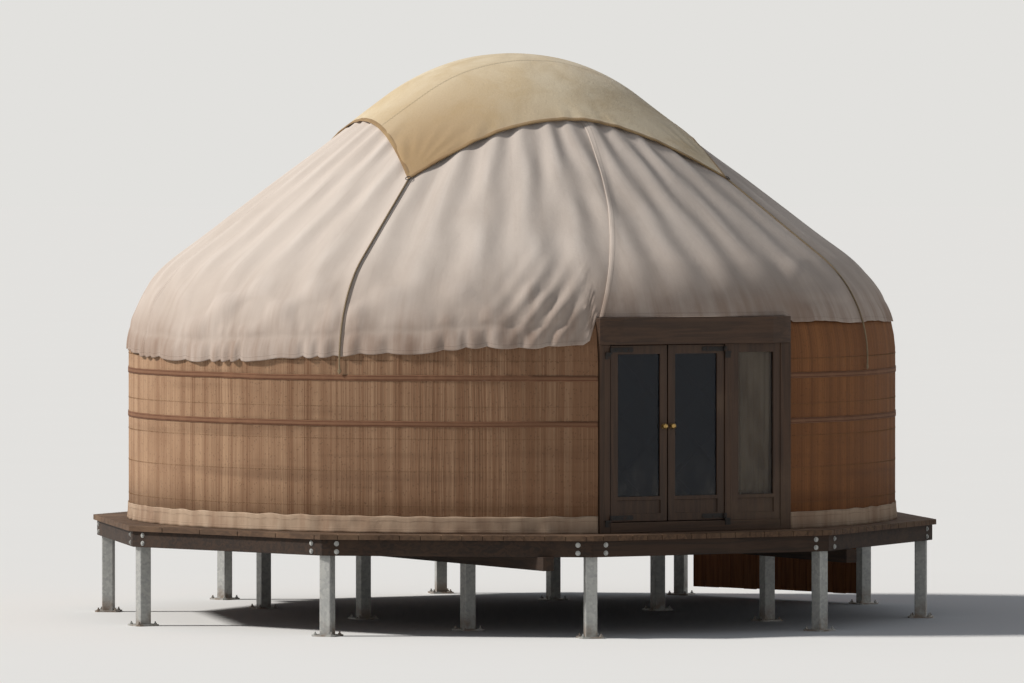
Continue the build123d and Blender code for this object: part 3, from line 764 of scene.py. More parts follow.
class YURT_OT_roof_canvas(bpy.types.Operator):
    """Roof canvas in eight sewn panels, drawn over the poles and gathered at the hem"""

    bl_idname = "yurt.roof_canvas"
    bl_label = "Roof canvas"

    def execute(self, context):
        tones = colours()
        finish = canvas_finish("Canvas", tones.canvas, tones.canvas_stain_and_crease_shade, tones.canvas_dust, 0.48)
        for number, name in enumerate(CANVAS_PANELS):
            self.panel(number, name, finish)
        return {"FINISHED"}

    def panel(self, number, name, finish):
        """One panel: rows of points from its hem up to the dome, spread between its two seams with an overlap."""
        share = np.linspace(0, 1, 92)[:, None]
        rise = (np.linspace(0, 1, 100) ** 1.25)[None, :]
        top = climb_to_radius(DOME_JOIN + 0.004)
        hem = climb_to_height(hem_height(CANVAS_SEAM + 45 * (number + share) + 0 * rise))
        for _ in range(3):
            level = hem + (top - hem) * rise
            left, right = seam_bearing(number, level), seam_bearing(number + 1, level)
            spread = np.degrees(SEAM_OVERLAP / cover_line(level)[0])
            bearing = (left - spread) + (right - left + 2 * spread) * share
            hem = climb_to_height(hem_height(bearing))
        level = hem + (top - hem) * rise
        to_edge = np.minimum(bearing - left + spread, right + spread - bearing)
        edge = to_edge * np.pi / 180 * cover_line(level)[0]
        lifted = 1.7 if number == 0 else 1 - 2 * (number % 2)
        free = cloth_out(bearing, level)
        out = kept_off_frame(free, bearing, level) + 0.0022 * lifted * (1 - smooth(edge, 0.04, 0.075))
        points = on_cover(bearing, level, out)
        uv = np.stack([np.radians(bearing) * COVER_RADIUS, level], axis=-1)
        # this number carries the cloth's stand-out for the painted shade in its dips
        numbers = {"hem": level - hem, "edge": edge, "crease": free / 0.012}
        faces = grid_faces(*bearing.shape)[:, ::-1]
        piece = mesh_piece(f"canvas_{name}", points, [faces], uv=uv, numbers=numbers)
        thicken(piece, "Cloth", sizes().canvas_thickness)
        seat(piece, finish, replaces=(f"roof_canvas_{name}",))


# Crown cover


def crown_place(across, along):
    """Bearing and climb of a point of the square felt, whose sides are drawn in a little."""
    draw = 0.05
    x = FELT_HALF * across * (1 - draw * (1 - along**2) * np.abs(across) ** 3)
    y = FELT_HALF * along * (1 - draw * (1 - across**2) * np.abs(along) ** 3)
    bearing = np.degrees(np.arctan2(x, -y)) + CANVAS_SEAM
    return bearing, climb_to_radius(np.maximum(np.hypot(x, y), 0.0005))


def felt_out(across, along):
    """How far the middle of the felt stands out at a share of its half side each way.

    It has slow swells, a flutter along its edge, folds that fan out from each corner where the rope pulls, and a
    groove at each of the two seams.
    """
    bearing, climb = crown_place(across, along)
    edge = (1 - np.maximum(np.abs(across), np.abs(along))) * FELT_HALF
    slow = ripples(bearing, 11, (3, 14), 8, climb, (2, 7)) * smooth(climb_to_radius(0) - climb, 0.05, 0.4)
    flutter = ripples(bearing, 12, (30, 60), 8, climb, (1, 4)) * (1 - smooth(edge, 0.0, 0.25))
    inside = 1 - np.abs(across), 1 - np.abs(along)
    folds = np.cos(20 * (np.arctan2(*inside) - np.pi / 4)) * bump_at(np.hypot(*inside) * FELT_HALF, 0.3, 0.2)
    seam = bump_at(np.abs(along), 1 / 3, 0.012)
    return np.maximum(0.0078 + 0.0034 * slow + 0.003 * flutter + 0.0045 * folds - 0.0022 * seam, 0.0064)


class YURT_OT_crown_cover(bpy.types.Operator):
    """Square felt over the crown with a bound edge"""

    bl_idname = "yurt.crown_cover"
    bl_label = "Crown cover"

    def execute(self, context):
        tones = colours()
        finish = felt_finish("Ochre felt", tones.felt, tones.felt_deep, linear(164, 134, 94))
        steps = 113
        line = np.linspace(-1, 1, steps)
        across, along = np.meshgrid(line, line, indexing="ij")
        points = on_cover(*crown_place(across, along), felt_out(across, along))
        uv = np.stack([across * FELT_HALF, along * FELT_HALF], axis=-1)
        felt = mesh_piece("crown_felt", points, [grid_faces(steps, steps)], uv=uv)
        thicken(felt, "Felt", sizes().felt_thickness)
        seat(felt, finish, replaces=("crown_cover",))
        binding = self.binding()
        return {"FINISHED"}

    def binding(self):
        """Tape folded round the felt's edge: a flat oval, by roots of the cosine and sine, carried round the square."""
        finish = felt_finish("Felt binding", linear(168, 140, 100), linear(140, 110, 74), linear(120, 96, 72))
        step = np.linspace(-1, 1, 96)[:-1]
        one = np.ones_like(step)
        across, along = np.concatenate([step, one, -step, -one]), np.concatenate([-one, step, one, -step])
        place, out = crown_place(across, along), felt_out(across, along)
        line = on_cover(*place, out)
        up = on_cover(*place, out + 1) - line
        side = unit(np.cross(unit(np.roll(line, -1, axis=0) - np.roll(line, 1, axis=0)), up))
        sides = 12
        angle = np.arange(sides) * 2 * np.pi / sides
        flat = np.abs(np.cos(angle)) ** 0.4 * np.sign(np.cos(angle)) * 0.017
        thick = np.abs(np.sin(angle)) ** 0.6 * np.sign(np.sin(angle)) * 0.0058
        tape = (line - side * 0.012)[:, None] + side[:, None] * flat[:, None] + up[:, None] * thick[:, None]
        piece = mesh_piece("crown_binding", tape, [grid_faces(len(line), sides, True, True)])
        return seat(piece, finish)


# Ropes


def twisted(bearing, climb, out, width, lay, steps):
    """Three strands that wind round a line on the cover: each is the line plus a turning offset of a quarter width."""
    path = on_cover(bearing, climb, out)
    up = on_cover(bearing, climb, out + 1) - path
    side = unit(np.cross(np.gradient(path, axis=0), up))
    run = np.concatenate([[0], np.cumsum(np.linalg.norm(np.diff(path, axis=0), axis=1))])
    fine = np.linspace(0, run[-1], steps)
    line, side, up = (np.stack([np.interp(fine, run, a[:, k]) for k in range(3)], -1) for a in (path, side, up))
    angle = (2 * np.pi * fine / lay + np.arange(3)[:, None] * 2 * np.pi / 3)[..., None]
    offset = side * np.cos(angle) + up * np.sin(angle)
    centre = line + offset * width * 0.25
    ahead = unit(np.gradient(centre, axis=1))
    out = unit(offset - ahead * (offset * ahead).sum(-1)[..., None])
    sides = 6
    points, faces = tubes(centre, np.cross(ahead, out), out, width * 0.27, width * 0.25, sides)
    uv = np.stack([np.tile(np.arange(sides) / sides, steps), np.repeat(fine, sides)], axis=-1)
    return points, faces, np.tile(uv, (3, 1))


class YURT_OT_corner_ropes(bpy.types.Operator):
    """Twisted ropes from the corners of the crown cover, down over the shoulder to the upper band"""

    bl_idname = "yurt.corner_ropes"
    bl_label = "Corner ropes"

    def execute(self, context):
        width = sizes().rope_width
        top, foot = climb_to_radius(CROWN_COVER_CORNER + 0.002), climb_to_height(ROPE_FOOT)
        corners = CANVAS_SEAM + 45 + 90 * np.arange(4)
        points, face_sets, uv, start = [], [], [], 0
        turn = np.linspace(0, 6 * np.pi, 60)
        for bearing in corners:
            climb = np.linspace(top, foot, 90)
            rope = twisted(bearing, climb, 0.0004 + width / 2, width, 0.062, 330)
            wind_bearing = bearing + np.degrees(0.0125 * np.cos(turn) / COVER_RADIUS)
            wind_climb = foot + 0.012 + 0.022 * turn / (6 * np.pi)
            wind = twisted(wind_bearing, wind_climb, 0.0022 + 0.009 * (1 + np.sin(turn)) * 0.5, 0.0075, 0.04, 90)
            for part_points, part_faces, part_uv in (rope, wind):
                points.append(part_points)
                face_sets += [faces + start for faces in part_faces]
                uv.append(part_uv)
                start += len(part_points)
        piece = mesh_piece("corner_ropes_twisted", np.concatenate(points), face_sets, uv=np.concatenate(uv))
        hair = rope_finish("Hair rope", linear(178, 160, 132), linear(112, 92, 70))
        seat(piece, hair, replaces=("corner_ropes",))
        self.rings(corners[:, None, None], top)
        return {"FINISHED"}

    def rings(self, corners, top):
        """Iron ring at each corner of the felt where the rope is tied: a circle of 20 mm with a tube of 3.5 mm."""
        steps, sides = 28, 10
        turn = (np.arange(steps) * 2 * np.pi / steps)[:, None]
        tube = np.arange(sides) * 2 * np.pi / sides
        wide = 0.020 + 0.0035 * np.cos(tube)
        bearing = corners + np.degrees(wide * np.sin(turn) / CROWN_COVER_CORNER)
        points = on_cover(bearing, top + 0.004 + wide * np.cos(turn), 0.0165 + 0.0035 * np.sin(tube))
        faces = copies(grid_faces(steps, sides, True, True)[:, ::-1], len(corners), steps * sides)
        iron = iron_finish("Ring iron", linear(70, 66, 62), linear(104, 70, 50))
        seat(mesh_piece("corner_rings", points, [faces]), iron)


# Wall

MAT_SPANS = {
    "left_front": (-97.47, -WALL_START),
    "left_rear": (-180.0, -97.51),
    "right_rear": (97.51, 180.0),
    "right_front": (WALL_START, 97.47),
}


class YURT_OT_reed_mats(bpy.types.Operator):
    """Reed mats round the wall: separate stems twined together with thread"""

    bl_idname = "yurt.reed_mats"
    bl_label = "Reed mats"

    def execute(self, context):
        tones = colours()
        bleached = reed_finish("Bleached reeds", tones.reed, tones.reed_bark, linear(96, 66, 44))
        ruddy = reed_finish("Ruddy reeds", tones.ruddy_reed, tones.ruddy_bark, linear(84, 50, 28))
        twine = rope_finish("Mat thread", linear(150, 118, 86), linear(92, 66, 46))
        middle = COVER_RADIUS - (MAT_FACE + MAT_BACK) / 2
        spacing = np.degrees(sizes().reed_spacing / middle)
        for number, (name, (first, last)) in enumerate(MAT_SPANS.items()):
            count = int((last - first) / spacing)
            stems = bleached if name.startswith("left") else ruddy
            self.reeds(name, number, first, last, count, spacing, stems)
            self.thread(name, first, last, count, twine)
        return {"FINISHED"}

    def reeds(self, name, number, first, last, count, spacing, finish):
        """Stems side by side, each an oval tube that wanders a little sideways and has its own width and height."""
        pick = np.random.default_rng(20 + number)
        place = first + (np.arange(count) + 0.5) * (last - first) / count
        tops = MAT_HEIGHT - 0.001 - 0.012 * pick.random(count) ** 2
        levels = [*np.linspace(0.0008, 1.2, 4), 1.32, 1.42, 1.51]
        height = np.column_stack([np.tile(levels, (count, 1)), tops])
        climb = climb_to_height(height)
        bearing = place[:, None] + spacing * 0.45 * ripples(place[:, None] * 3, 31, (3, 9), 5, height * 3, (1, 3))
        depth = (MAT_FACE + MAT_BACK) / 2 + 0.0007 * pick.uniform(-1, 1, count)[:, None]
        path = on_cover(bearing, climb, -depth)
        out = on_cover(bearing, climb, 1 - depth) - path
        wide = sizes().reed_spacing * pick.uniform(0.53, 0.59, count)[:, None]
        deep = pick.uniform(0.0052, 0.0062, count)[:, None]
        points, faces = tubes(path, aside(np.radians(bearing)), out, wide, deep)
        streaks = 0.5 + 0.5 * ripples(place, 40 + number, (40, 160), 14)
        # painted shade: on the left mats the tint rises towards the door, where the wall turns from the key light, and
        # falls further round, so the stems darken near the door and lighten away from it
        sheltered = 0.55 * smooth(place, -80, -20) - 0.2 if name.startswith("left") else 0
        tint = np.clip(0.45 * streaks + 0.55 * pick.random(count) + sheltered, 0, 1)
        per_reed = len(points) // count
        numbers = {"tint": np.repeat(tint, per_reed), "stem": np.repeat(pick.random(count), per_reed)}
        piece = mesh_piece(f"reeds_{name}", points, faces, numbers=numbers)
        seat(piece, finish, replaces=(f"reed_mat_{name}",))

    def thread(self, name, first, last, count, finish):
        """Five rows of thread in front of the stems, in and out from stem to stem and up and down by a sine."""
        rows = climb_to_height(np.array([0.2, 0.46, 0.7, 0.94, 1.28]))[:, None]
        step = np.arange(2 * count + 1)
        bearing = first + step * (last - first) / (2 * count)
        climb = rows + 0.003 * np.sin(step * np.pi / 2)
        depth = MAT_FACE + 0.0004 + 0.0035 * (1 - step % 2)
        path = on_cover(bearing, climb, -depth)
        out = on_cover(bearing, climb, 1 - depth) - path
        points, faces = tubes(path, (0, 0, 1), out, 0.0016, 0.0011, 3, turned=True)
        uv = np.stack(np.broadcast_arrays([0, 0.33, 0.66], 0.05 * bearing[:, None]), axis=-1).reshape(-1, 2)
        seat(mesh_piece(f"mat_thread_{name}", points, faces, uv=np.tile(uv, (len(rows), 1))), finish)


class YURT_OT_wall_bands(bpy.types.Operator):
    """Canvas base band and the two woven girth bands"""

    bl_idname = "yurt.wall_bands"
    bl_label = "Bands"

    def execute(self, context):
        self.girth_bands()
        self.base_band()
        return {"FINISHED"}

    def strip(self, name, bearing, climb, out, across, cloth, finish, slot, node, widths, numbers=None):
        """Strip of cloth round the wall from one side of the door to the other, resting on the mats.

        cloth is its layer's name and thickness; widths, its flat width and the one that its area has, is not used.
        """
        uv = np.stack([np.radians(bearing) * COVER_RADIUS + 0 * climb, across + 0 * climb], axis=-1)
        faces = [grid_faces(*climb.shape)[:, ::-1]]
        piece = mesh_piece(name, on_cover(bearing, climb, out), faces, uv=uv, numbers=numbers)
        seat(thicken(piece, *cloth), finish, replaces=node)

    def girth_bands(self):
        """Two tapes drawn tight round the mats: pressed in at their edges, puckered a little and not quite level."""
        finish = weave_finish("Woven band", linear(134, 98, 74), linear(104, 68, 50), linear(66, 46, 36))
        bearing = np.linspace(WALL_START, 360 - WALL_START, 1200)[:, None]
        across = np.linspace(-1, 1, 5)[None, :]
        for number, middle in enumerate((0.8125, 1.1525)):
            seed = 70 + 5 * number
            half = 0.0215 + 0.0009 * ripples(bearing, seed + 1, (30, 90), 6)
            climb = middle + 0.0018 * ripples(bearing, seed, (5, 22), 6) + half * across
            out = -0.0100 - 0.0011 * across**4 + 0.0006 * ripples(bearing, seed + 2, (90, 260), 9, climb, (10, 50))
            name, node = f"girth_band_{number + 1}", () if number else ("girth_bands",)
            tape, widths = ("Tape", 0.0022), (0.045, 0.043)
            self.strip(name, bearing, climb, out, half * across, tape, finish, "woven_band", node, widths)

    def base_band(self):
        """Canvas strip round the foot of the wall, flared and rippled at the boards."""
        finish = canvas_finish("Base canvas", linear(200, 178, 154), linear(170, 142, 118), linear(128, 98, 78), 0.0)
        bearing = np.linspace(WALL_START, 360 - WALL_START, 900)[:, None]
        rise = np.linspace(0, 1, 9)[None, :]
        top = 0.128 + 0.003 * ripples(bearing, 61, (30, 90), 8)
        climb = 0.0015 + (top - 0.0015) * rise
        out = -0.0095 + 0.0025 * ripples(bearing, 62, (50, 140), 10, climb, (4, 16))
        out = out + (1 - rise) ** 2 * 0.005 * (1 + ripples(bearing, 63, (40, 110), 8, climb, (1, 6)))
        # this number carries the band's stand-out for the painted shade in its dips
        numbers = {"hem": climb, "edge": top - climb, "crease": out / 0.01}
        cloth, widths, node = ("Cloth", 0.0025), (0.131, 0.128), ("base_band",)
        name, slot = "base_band_cloth", "base_canvas"
        self.strip(name, bearing, climb, out, climb, cloth, finish, slot, node, widths, numbers)


class YURT_OT_lattice(bpy.types.Operator):
    """Lattice wall of stained willow laths with a knot of hide at each crossing"""

    bl_idname = "yurt.lattice"
    bl_label = "Lattice wall"

    def execute(self, context):
        stain = linear(150, 92, 62), linear(110, 60, 38), linear(128, 84, 58)
        wood = timber_finish("Lattice willow", "z", *stain, 0.55, grain=0.6)
        dress(wood, *[f"lattice_{side}_{part}" for side in ("left", "right") for part in ("front", "middle", "rear")])
        self.knots(rope_finish("Hide knots", linear(112, 84, 60), linear(70, 50, 36)))
        return {"FINISHED"}

    def knots(self, finish):
        """Small domed knots on the inner laths, one at each crossing."""
        column, row = (a.ravel() for a in np.meshgrid(np.arange(1, 2 * HEAD_GAPS), np.arange(1, 7), indexing="ij"))
        crossing = (column + row) % 2 == 1
        column, row = column[crossing], row[crossing]
        turn = np.radians(-FIRST_HEAD - column * HEAD_STEP / 2)
        height = LATTICE_HEIGHT / 2 + (row - 3.5) / 3.5 * (LATTICE_HEIGHT / 2 - 0.01)
        place = on_cover(np.degrees(turn), climb_to_height(height), -LATTICE_BACK)
        profile = ((0.011, -0.001), (0.009, 0.003), (0.0045, 0.005))
        seat(mesh_piece("lattice_knots", *studs(place, -aside(turn), (0, 0, 1), profile)), finish)


class YURT_OT_roof_frame(bpy.types.Operator):
    """Bent poles, crown ring and crown bars"""

    bl_idname = "yurt.roof_frame"
    bl_label = "Roof frame"

    def execute(self, context):
        dusty = linear(132, 82, 56)
        pole = timber_finish("Bent willow", "round", linear(156, 92, 60), linear(112, 58, 36), dusty, 0.5)
        dress(pole, "roof_poles_left", "roof_poles_right", "roof_poles_door", "crown_ring")
        dress(timber_finish("Crown bars", "x", linear(150, 90, 60), linear(108, 58, 38), dusty, 0.5), "crown_bars")
        return {"FINISHED"}


# Door


class YURT_OT_door(bpy.types.Operator):
    """Door frame, glazed leaves, sidelight, curtain and ironwork"""

    bl_idname = "yurt.door"
    bl_label = "Door"

    def execute(self, context):
        tone = tuple(colours().door)
        dark, dusty = shade(tone, 0.55), linear(100, 80, 62)
        upright = timber_finish("Door timber upright", "z", tone, dark, dusty, 0.5)
        level = timber_finish("Door timber level", "x", tone, dark, dusty, 0.5)
        leaf = timber_finish("Leaf timber", "z", shade(tone, 0.9), dark, dusty, 0.45)
        iron = iron_finish("Forged iron", linear(48, 46, 45), linear(86, 56, 40))
        for node, finish, share, body in (
            ("door_jambs", upright, 1.3, "yurt"),
            ("door_mullion", upright, 1, "yurt"),
            ("door_lintel", level, 1.5, "yurt"),
            ("door_threshold", level, 1.5, "yurt"),
            ("left_leaf_frame", leaf, 0.7, "left_leaf"),
            ("right_leaf_frame", leaf, 0.7, "right_leaf"),
            ("sidelight_frame", leaf, 0.7, "yurt"),
            ("left_leaf_straps", iron, 0.35, "left_leaf"),
            ("right_leaf_straps", iron, 0.35, "right_leaf"),
            ("door_pintles", iron, 0.35, "yurt"),
        ):
            eased(node, finish, sizes().eased_edge * share, body)
        # painted shade: the near-black glass covers darken the dark room and the curtain seen through the panes
        dress(glass_finish("Leaf glass", (0.011, 0.015, 0.022), 0.62), "left_leaf_glass", "right_leaf_glass")
        dress(glass_finish("Sidelight glass", (0.022, 0.022, 0.024), 0.32), "sidelight_glass")
        self.strap_nails(iron)
        brass = brass_finish("Worn brass", linear(176, 146, 92), linear(96, 74, 46))
        dress(brass, "left_leaf_knobs", "right_leaf_knobs")
        self.curtain()
        return {"FINISHED"}

    def strap_nails(self, finish):
        """Domed clout nails through the straps."""
        profile = ((0.0062, -0.0005), (0.0050, 0.0018), (0.0022, 0.0030))
        for leaf, way in (("left", 1), ("right", -1)):
            low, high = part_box(f"{leaf}_leaf_straps")
            x = (low[0] if way > 0 else high[0]) + way * np.array([0.055, 0.11, 0.165])
            x, z = (a.ravel() for a in np.meshgrid(x, [low[2] + STRAP_HALF, high[2] - STRAP_HALF]))
            place = np.stack([x, 0 * x - STRAP_FACE, z], axis=-1)
            nails = mesh_piece(f"{leaf}_strap_nails", *studs(place, (1, 0, 0), (0, 0, 1), profile, 10))
            seat(nails, finish, f"{leaf}_leaf")

    def curtain(self):
        """Gathered curtain behind the sidelight: its depth is a sine across, deeper and wider towards the hem."""
        low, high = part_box("sidelight_curtain")
        across = np.linspace(0, 1, 150)[:, None]
        down = np.linspace(0, 1, 40)[None, :]
        fold = across * 2 * np.pi * 8 + 0.5 * np.sin(down * 3 + across * 5)
        depth = (0.006 + 0.010 * down) * (1 + np.sin(fold)) * 0.5 + 0.004 * down * (1 + np.sin(across * 17 + 1)) * 0.5
        x = low[0] + (high[0] - low[0]) * across + 0.004 * np.sin(fold * 2) * down
        z = high[2] - (high[2] - low[2]) * down
        points = np.stack(np.broadcast_arrays(x, low[1] + 0.002 + depth, z), axis=-1)
        uv = np.stack(np.broadcast_arrays(across * 0.5, down * 1.157), axis=-1)
        piece = thicken(mesh_piece("sidelight_curtain_folds", points, [grid_faces(150, 40)], uv=uv), "Cloth", 0.001)
        finish = curtain_finish("Curtain cotton", linear(186, 168, 144), linear(150, 130, 108))
        seat(piece, finish, replaces=("sidelight_curtain",))


# Deck


def deck_edge(x):
    """Half length along Y of the ten-sided deck at a distance along X: the least reach of its sides."""
    way = outward(np.radians(SIDE_BEARINGS))
    ahead = way[way[:, 1] > 0.05]
    return ((DECK_RADIUS * np.cos(HALF_SIDE) - x[..., None] * ahead[:, 0]) / ahead[:, 1]).min(axis=-1)


class YURT_OT_deck(bpy.types.Operator):
    """Deck boards with nails, beams, skirt boards and galvanised posts"""

    bl_idname = "yurt.deck"
    bl_label = "Deck"

    def execute(self, context):
        self.boards()
        stain = linear(54, 37, 25), linear(34, 23, 15), linear(72, 54, 40)
        beam = timber_finish("Deck beams", "x", *stain, 0.65)
        edge = sizes().eased_edge
        eased("rim_beams", beam, edge)
        eased("joists", beam, edge * 0.7)
        eased("bearers", timber_finish("Deck bearers", "y", *stain, 0.65), edge)
        zinc = zinc_finish("Galvanised steel", linear(178, 178, 174), linear(140, 142, 142))
        dress(zinc, "outer_posts", "inner_posts")
        self.foot_bolts(zinc)
        self.beam_bolts(zinc)
        self.skirt()
        return {"FINISHED"}

    def boards(self):
        """Deck boards cut to the ten sides, with rounded edges: strips of five points across and four along."""
        low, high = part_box("floor_boards")
        width, gap = sizes().board_width, sizes().board_gap
        count = int(np.ceil(2 * high[0] / width))
        left = -count * width / 2 + np.arange(count) * width + gap / 2
        right = left + width - gap
        left, right = np.maximum(left, -high[0] + 0.002), np.minimum(right, high[0] - 0.002)
        corner = np.array(DECK_CORNERS)
        inside = (corner[None] > left[:, None]) & (corner[None] < right[:, None])
        middle = np.where(inside.any(1), (corner[None] * inside).sum(1), (left + right) / 2)
        ease = 0.004
        x = np.maximum.accumulate(np.stack([left, left + ease, middle, right - ease, right], axis=1), axis=1)
        reach = deck_edge(x)
        ends = np.stack([-reach, -reach + ease, reach - ease, reach], axis=2)
        drop = np.maximum.outer([ease, 0, 0, 0, ease], [ease, 0, 0, ease])
        upper = np.stack(np.broadcast_arrays(x[:, :, None], ends, high[2] - drop), axis=-1).reshape(count, 20, 3)
        lower = upper.copy()
        lower[..., 2] = low[2]
        top = grid_faces(5, 4)
        loop = np.array([0, 1, 2, 3, 7, 11, 15, 19, 18, 17, 16, 12, 8, 4])
        after = np.roll(loop, -1)
        walls = np.stack([loop, after, after + 20, loop + 20], axis=-1)
        faces = [copies(np.concatenate([top, top[:, ::-1] + 20, walls]), count, 40)]
        tint = np.repeat(np.random.default_rng(7).random(count), 40)
        deck = tuple(colours().deck)
        finish = timber_finish("Deck boards", "y", deck, shade(deck, 0.55), linear(138, 112, 88), 0.7)
        points = np.concatenate([upper, lower], axis=1)
        piece = mesh_piece("deck_boards", points, faces, smooth_faces=False, numbers={"tint": tint})
        seat(piece, finish, replaces=("floor_boards",))
        rows = -2.6 + 0.52 * np.arange(11)
        x, y = (a.ravel() for a in np.meshgrid(np.concatenate([left + 0.028, right - 0.028]), rows, indexing="ij"))
        keep = np.abs(y) < deck_edge(x) - 0.02
        self.nail_heads(x[keep], y[keep], high[2])

    def nail_heads(self, x, y, top):
        """Low domed nail heads, just proud of the boards."""
        profile = ((0.005, -0.001), (0.0045, 0.0003), (0.002, 0.0008))
        points, faces = studs(np.stack([x, y, 0 * x + top], axis=-1), (1, 0, 0), (0, 1, 0), profile, 6)
        seat(mesh_piece("deck_nails", points, faces), iron_finish("Nails", linear(70, 62, 56), linear(92, 62, 44)))

    def foot_bolts(self, finish):
        """Hexagon nuts with stub ends on the foot plates."""
        turn = np.radians(18 + SIDE_BEARINGS)
        inner = np.array([[x, y, 0] for x in (-1.3, 1.3) for y in (-1.7, 0, 1.7)])
        centre = np.concatenate([POST_RADIUS * outward(turn), inner])[:, None]
        turn = np.concatenate([turn, np.zeros(len(inner))])[:, None]
        corner = np.array([[a, b] for a in (-0.068, 0.068) for b in (-0.068, 0.068)])
        place = centre + corner[:, :1] * aside(turn) - corner[:, 1:] * outward(turn) + np.array([0, 0, FOOT_PLATE])
        nut = hexagon(0.0105)
        profile = ((nut, 0.0002), (nut, 0.0098), (0.006, 0.0098), (0.006, 0.022))
        points, faces = studs(place.reshape(-1, 3), (1, 0, 0), (0, 1, 0), profile, 12)
        seat(mesh_piece("foot_bolts", points, faces, smooth_faces=False), finish)

    def beam_bolts(self, finish):
        """Bolt heads with washers on the rim beams, four near each corner."""
        turn = np.repeat(np.radians(SIDE_BEARINGS), 4)
        near = RIM_RADIUS * np.sin(HALF_SIDE) - 0.11
        along = np.tile([-near, -near, near, near], 10)[:, None]
        level = np.tile([-0.13, -0.07], 20)[:, None] + DECK_TOP
        place = outward(turn) * RIM_RADIUS * np.cos(HALF_SIDE) + aside(turn) * along + level * np.array([0, 0, 1])
        head = hexagon(0.0105)
        profile = ((0.019, 0.0), (0.019, 0.0025), (head, 0.0025), (head, 0.0105))
        points, faces = studs(place, aside(turn), (0, 0, 1), profile, 12)
        seat(mesh_piece("beam_bolts", points, faces, smooth_faces=False), finish)

    def skirt(self):
        """Upright boards side by side with a batten top and bottom, turned to the deck's right rear side."""
        low, high, count = 0.07, 0.6, 13
        face = RIM_RADIUS * np.cos(HALF_SIDE) - 0.03
        half = (RIM_RADIUS - 0.09) * np.sin(HALF_SIDE) - 0.095
        width = 2 * half / count
        left = -half + width * np.arange(count)
        pick = np.random.default_rng(9)
        feet = low + 0.006 * pick.random(count)
        lows = np.stack([np.full(count, face - 0.012), left + 0.002, feet], axis=-1)
        highs = np.stack([np.full(count, face + 0.006), left + width - 0.002, np.full(count, high)], axis=-1)
        rail_lows = [[face + 0.0062, -half, low + 0.06], [face + 0.0062, -half, high - 0.12]]
        rail_highs = [[face + 0.012, half, low + 0.12], [face + 0.012, half, high - 0.06]]
        points, faces = boxes(np.concatenate([lows, rail_lows]), np.concatenate([highs, rail_highs]))
        tint = np.repeat(np.concatenate([pick.random(count), [0.5, 0.5]]), 8)
        turn = np.radians(18.0)
        points = points[:, :1] * aside(turn) - points[:, 1:2] * outward(turn) + points[:, 2:] * np.array([0, 0, 1])
        piece = mesh_piece("skirt_boards", points, faces, smooth_faces=False, numbers={"tint": tint})
        bevel = piece.modifiers.new("Eased corners", "BEVEL")
        bevel.width = 0.0015
        bevel.segments = 1
        stain = linear(158, 100, 56), linear(120, 70, 36), linear(140, 100, 66)
        seat(piece, timber_finish("Skirt boards", "z", *stain, 0.65), replaces=("skirt_panel",))


# Stage


def way_to(bearing, rise):
    """Unit way from the yurt at a bearing and an angle above the horizontal, both in radians."""
    return outward(bearing) * np.cos(rise) + np.array([0, 0, np.sin(rise)])


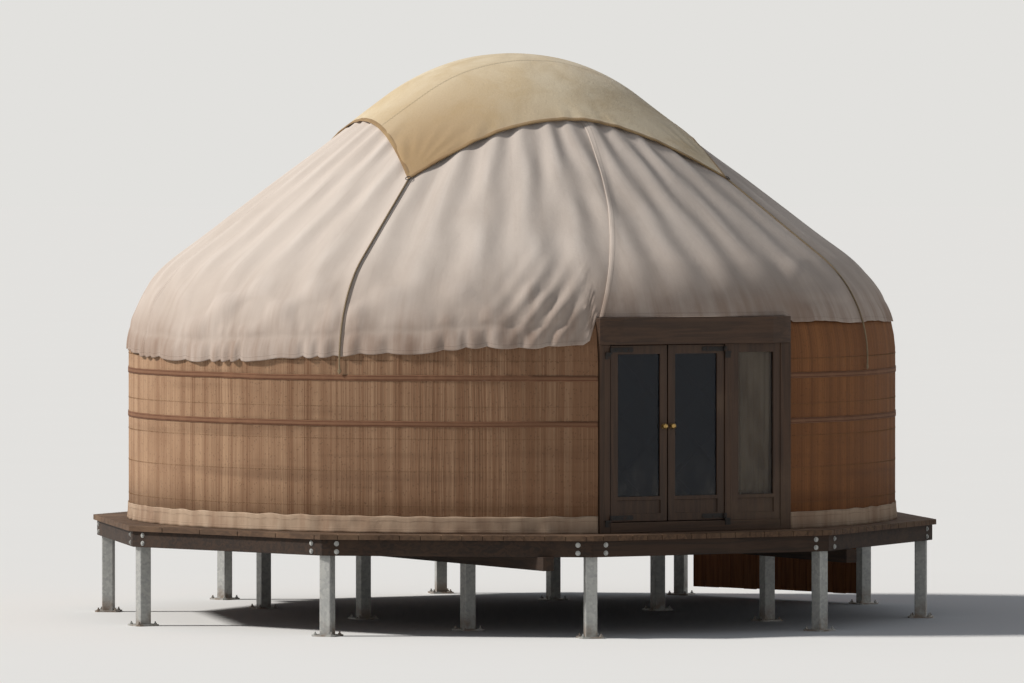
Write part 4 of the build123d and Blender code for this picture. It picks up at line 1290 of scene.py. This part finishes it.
class YURT_OT_stage(bpy.types.Operator):
    """Pale floor and backdrop, soft key light from the left, fill light and the camera"""

    bl_idname = "yurt.stage"
    bl_label = "Stage"

    def execute(self, context):
        self.floor()
        self.key_light(context)
        self.world(context)
        self.camera(context)
        context.scene.view_settings.view_transform = "Standard"
        return {"FINISHED"}

    def floor(self):
        """Level disc, just under the foot plates."""
        f = Finish("Pale floor")
        pale = tuple(colours().floor)
        specks = f.noise(f.place(), 0.4, 3.0, 0.5)
        f.done(f.coats(pale, (specks, shade(pale, 0.985))), 0.9, Specular_IOR_Level=0.0)
        radius = np.array([0.0, 30.0, 120.0, 500.0])[:, None, None]
        points = radius * outward(np.pi / 2 + np.arange(48) * 2 * np.pi / 48) - np.array([0, 0, 0.0005])
        floor = mesh_piece("pale_floor", points, [grid_faces(4, 48, close_columns=True)])
        set_finish(floor, f.material)

    def key_light(self, context):
        """A broad sun from the camera's left at 37 degrees."""
        sun = bpy.data.lights.new("Key", "SUN")
        sun.energy = 3.48
        sun.angle = np.radians(7)
        sun.color = (1.0, 0.965, 0.92)
        key = bpy.data.objects.new("Key", sun)
        bearing, rise = np.radians(-117), np.radians(37)
        key.location = way_to(bearing, rise) * 20
        key.rotation_euler = (np.pi / 2 - rise, 0, bearing)
        context.scene.collection.objects.link(key)

    def world(self, context):
        """A world that is plain for light and pale for the eye."""
        world = bpy.data.worlds.new("Studio")
        world.use_nodes = True
        context.scene.world = world
        nodes, links = world.node_tree.nodes, world.node_tree.links
        plain, seen = nodes["Background"], nodes.new("ShaderNodeBackground")
        plain.inputs["Color"].default_value = (0.86, 0.91, 1.0, 1)
        plain.inputs["Strength"].default_value = 0.22
        seen.inputs["Color"].default_value = (*colours().backdrop, 1)
        seen.inputs["Strength"].default_value = 1.0
        path = nodes.new("ShaderNodeLightPath")
        by_eye = path.outputs["Is Camera Ray"]
        for kind in ("Is Glossy Ray", "Is Transmission Ray"):
            either = nodes.new("ShaderNodeMath")
            either.operation = "MAXIMUM"
            links.new(by_eye, either.inputs[0])
            links.new(path.outputs[kind], either.inputs[1])
            by_eye = either.outputs[0]
        mix = nodes.new("ShaderNodeMixShader")
        for number, socket in enumerate((by_eye, plain.outputs[0], seen.outputs[0])):
            links.new(socket, mix.inputs[number])
        links.new(mix.outputs[0], nodes["World Output"].inputs["Surface"])

    def camera(self, context):
        """Long lens at the height of the photograph's view, 28.5 degrees left of the door."""
        lens = bpy.data.cameras.new("Camera")
        lens.lens = 290
        lens.sensor_width = 36
        lens.clip_end = 2000
        lens.dof.use_dof = False
        camera = bpy.data.objects.new("Camera", lens)
        bearing, rise = np.radians(-28.5), np.radians(1.3)
        camera.location = way_to(bearing, rise) * 64.0 + np.array([0, 0, 2.12])
        camera.rotation_euler = (np.pi / 2 - rise, 0, bearing)
        context.scene.collection.objects.link(camera)
        context.scene.camera = camera


OPERATORS = [
    YURT_OT_stage,
    YURT_OT_deck,
    YURT_OT_lattice,
    YURT_OT_reed_mats,
    YURT_OT_wall_bands,
    YURT_OT_roof_frame,
    YURT_OT_door,
    YURT_OT_roof_canvas,
    YURT_OT_crown_cover,
    YURT_OT_corner_ropes,
]


class YURT_PT_panel(bpy.types.Panel):
    """Sizes, colours and pieces of the yurt"""

    bl_idname = "YURT_PT_panel"
    bl_label = "Yurt"
    bl_space_type = "VIEW_3D"
    bl_region_type = "UI"
    bl_category = "Yurt"

    def draw(self, context):
        for group in (context.scene.yurt_sizes, context.scene.yurt_colours):
            for key in type(group).__annotations__:
                self.layout.prop(group, key)
        for operator in OPERATORS:
            self.layout.operator(operator.bl_idname)


CLASSES = [YurtSizes, YurtColours, *OPERATORS, YURT_PT_panel]


def register():
    for kind in CLASSES:
        bpy.utils.register_class(kind)
    bpy.types.Scene.yurt_sizes = bpy.props.PointerProperty(type=YurtSizes)
    bpy.types.Scene.yurt_colours = bpy.props.PointerProperty(type=YurtColours)


def unregister():
    del bpy.types.Scene.yurt_colours
    del bpy.types.Scene.yurt_sizes
    for kind in reversed(CLASSES):
        bpy.utils.unregister_class(kind)


def main():
    """Make every piece in order."""
    register()
    for operator in OPERATORS:
        group, name = operator.bl_idname.split(".")
        getattr(getattr(bpy.ops, group), name)()


if __name__ == "__main__":
    main()
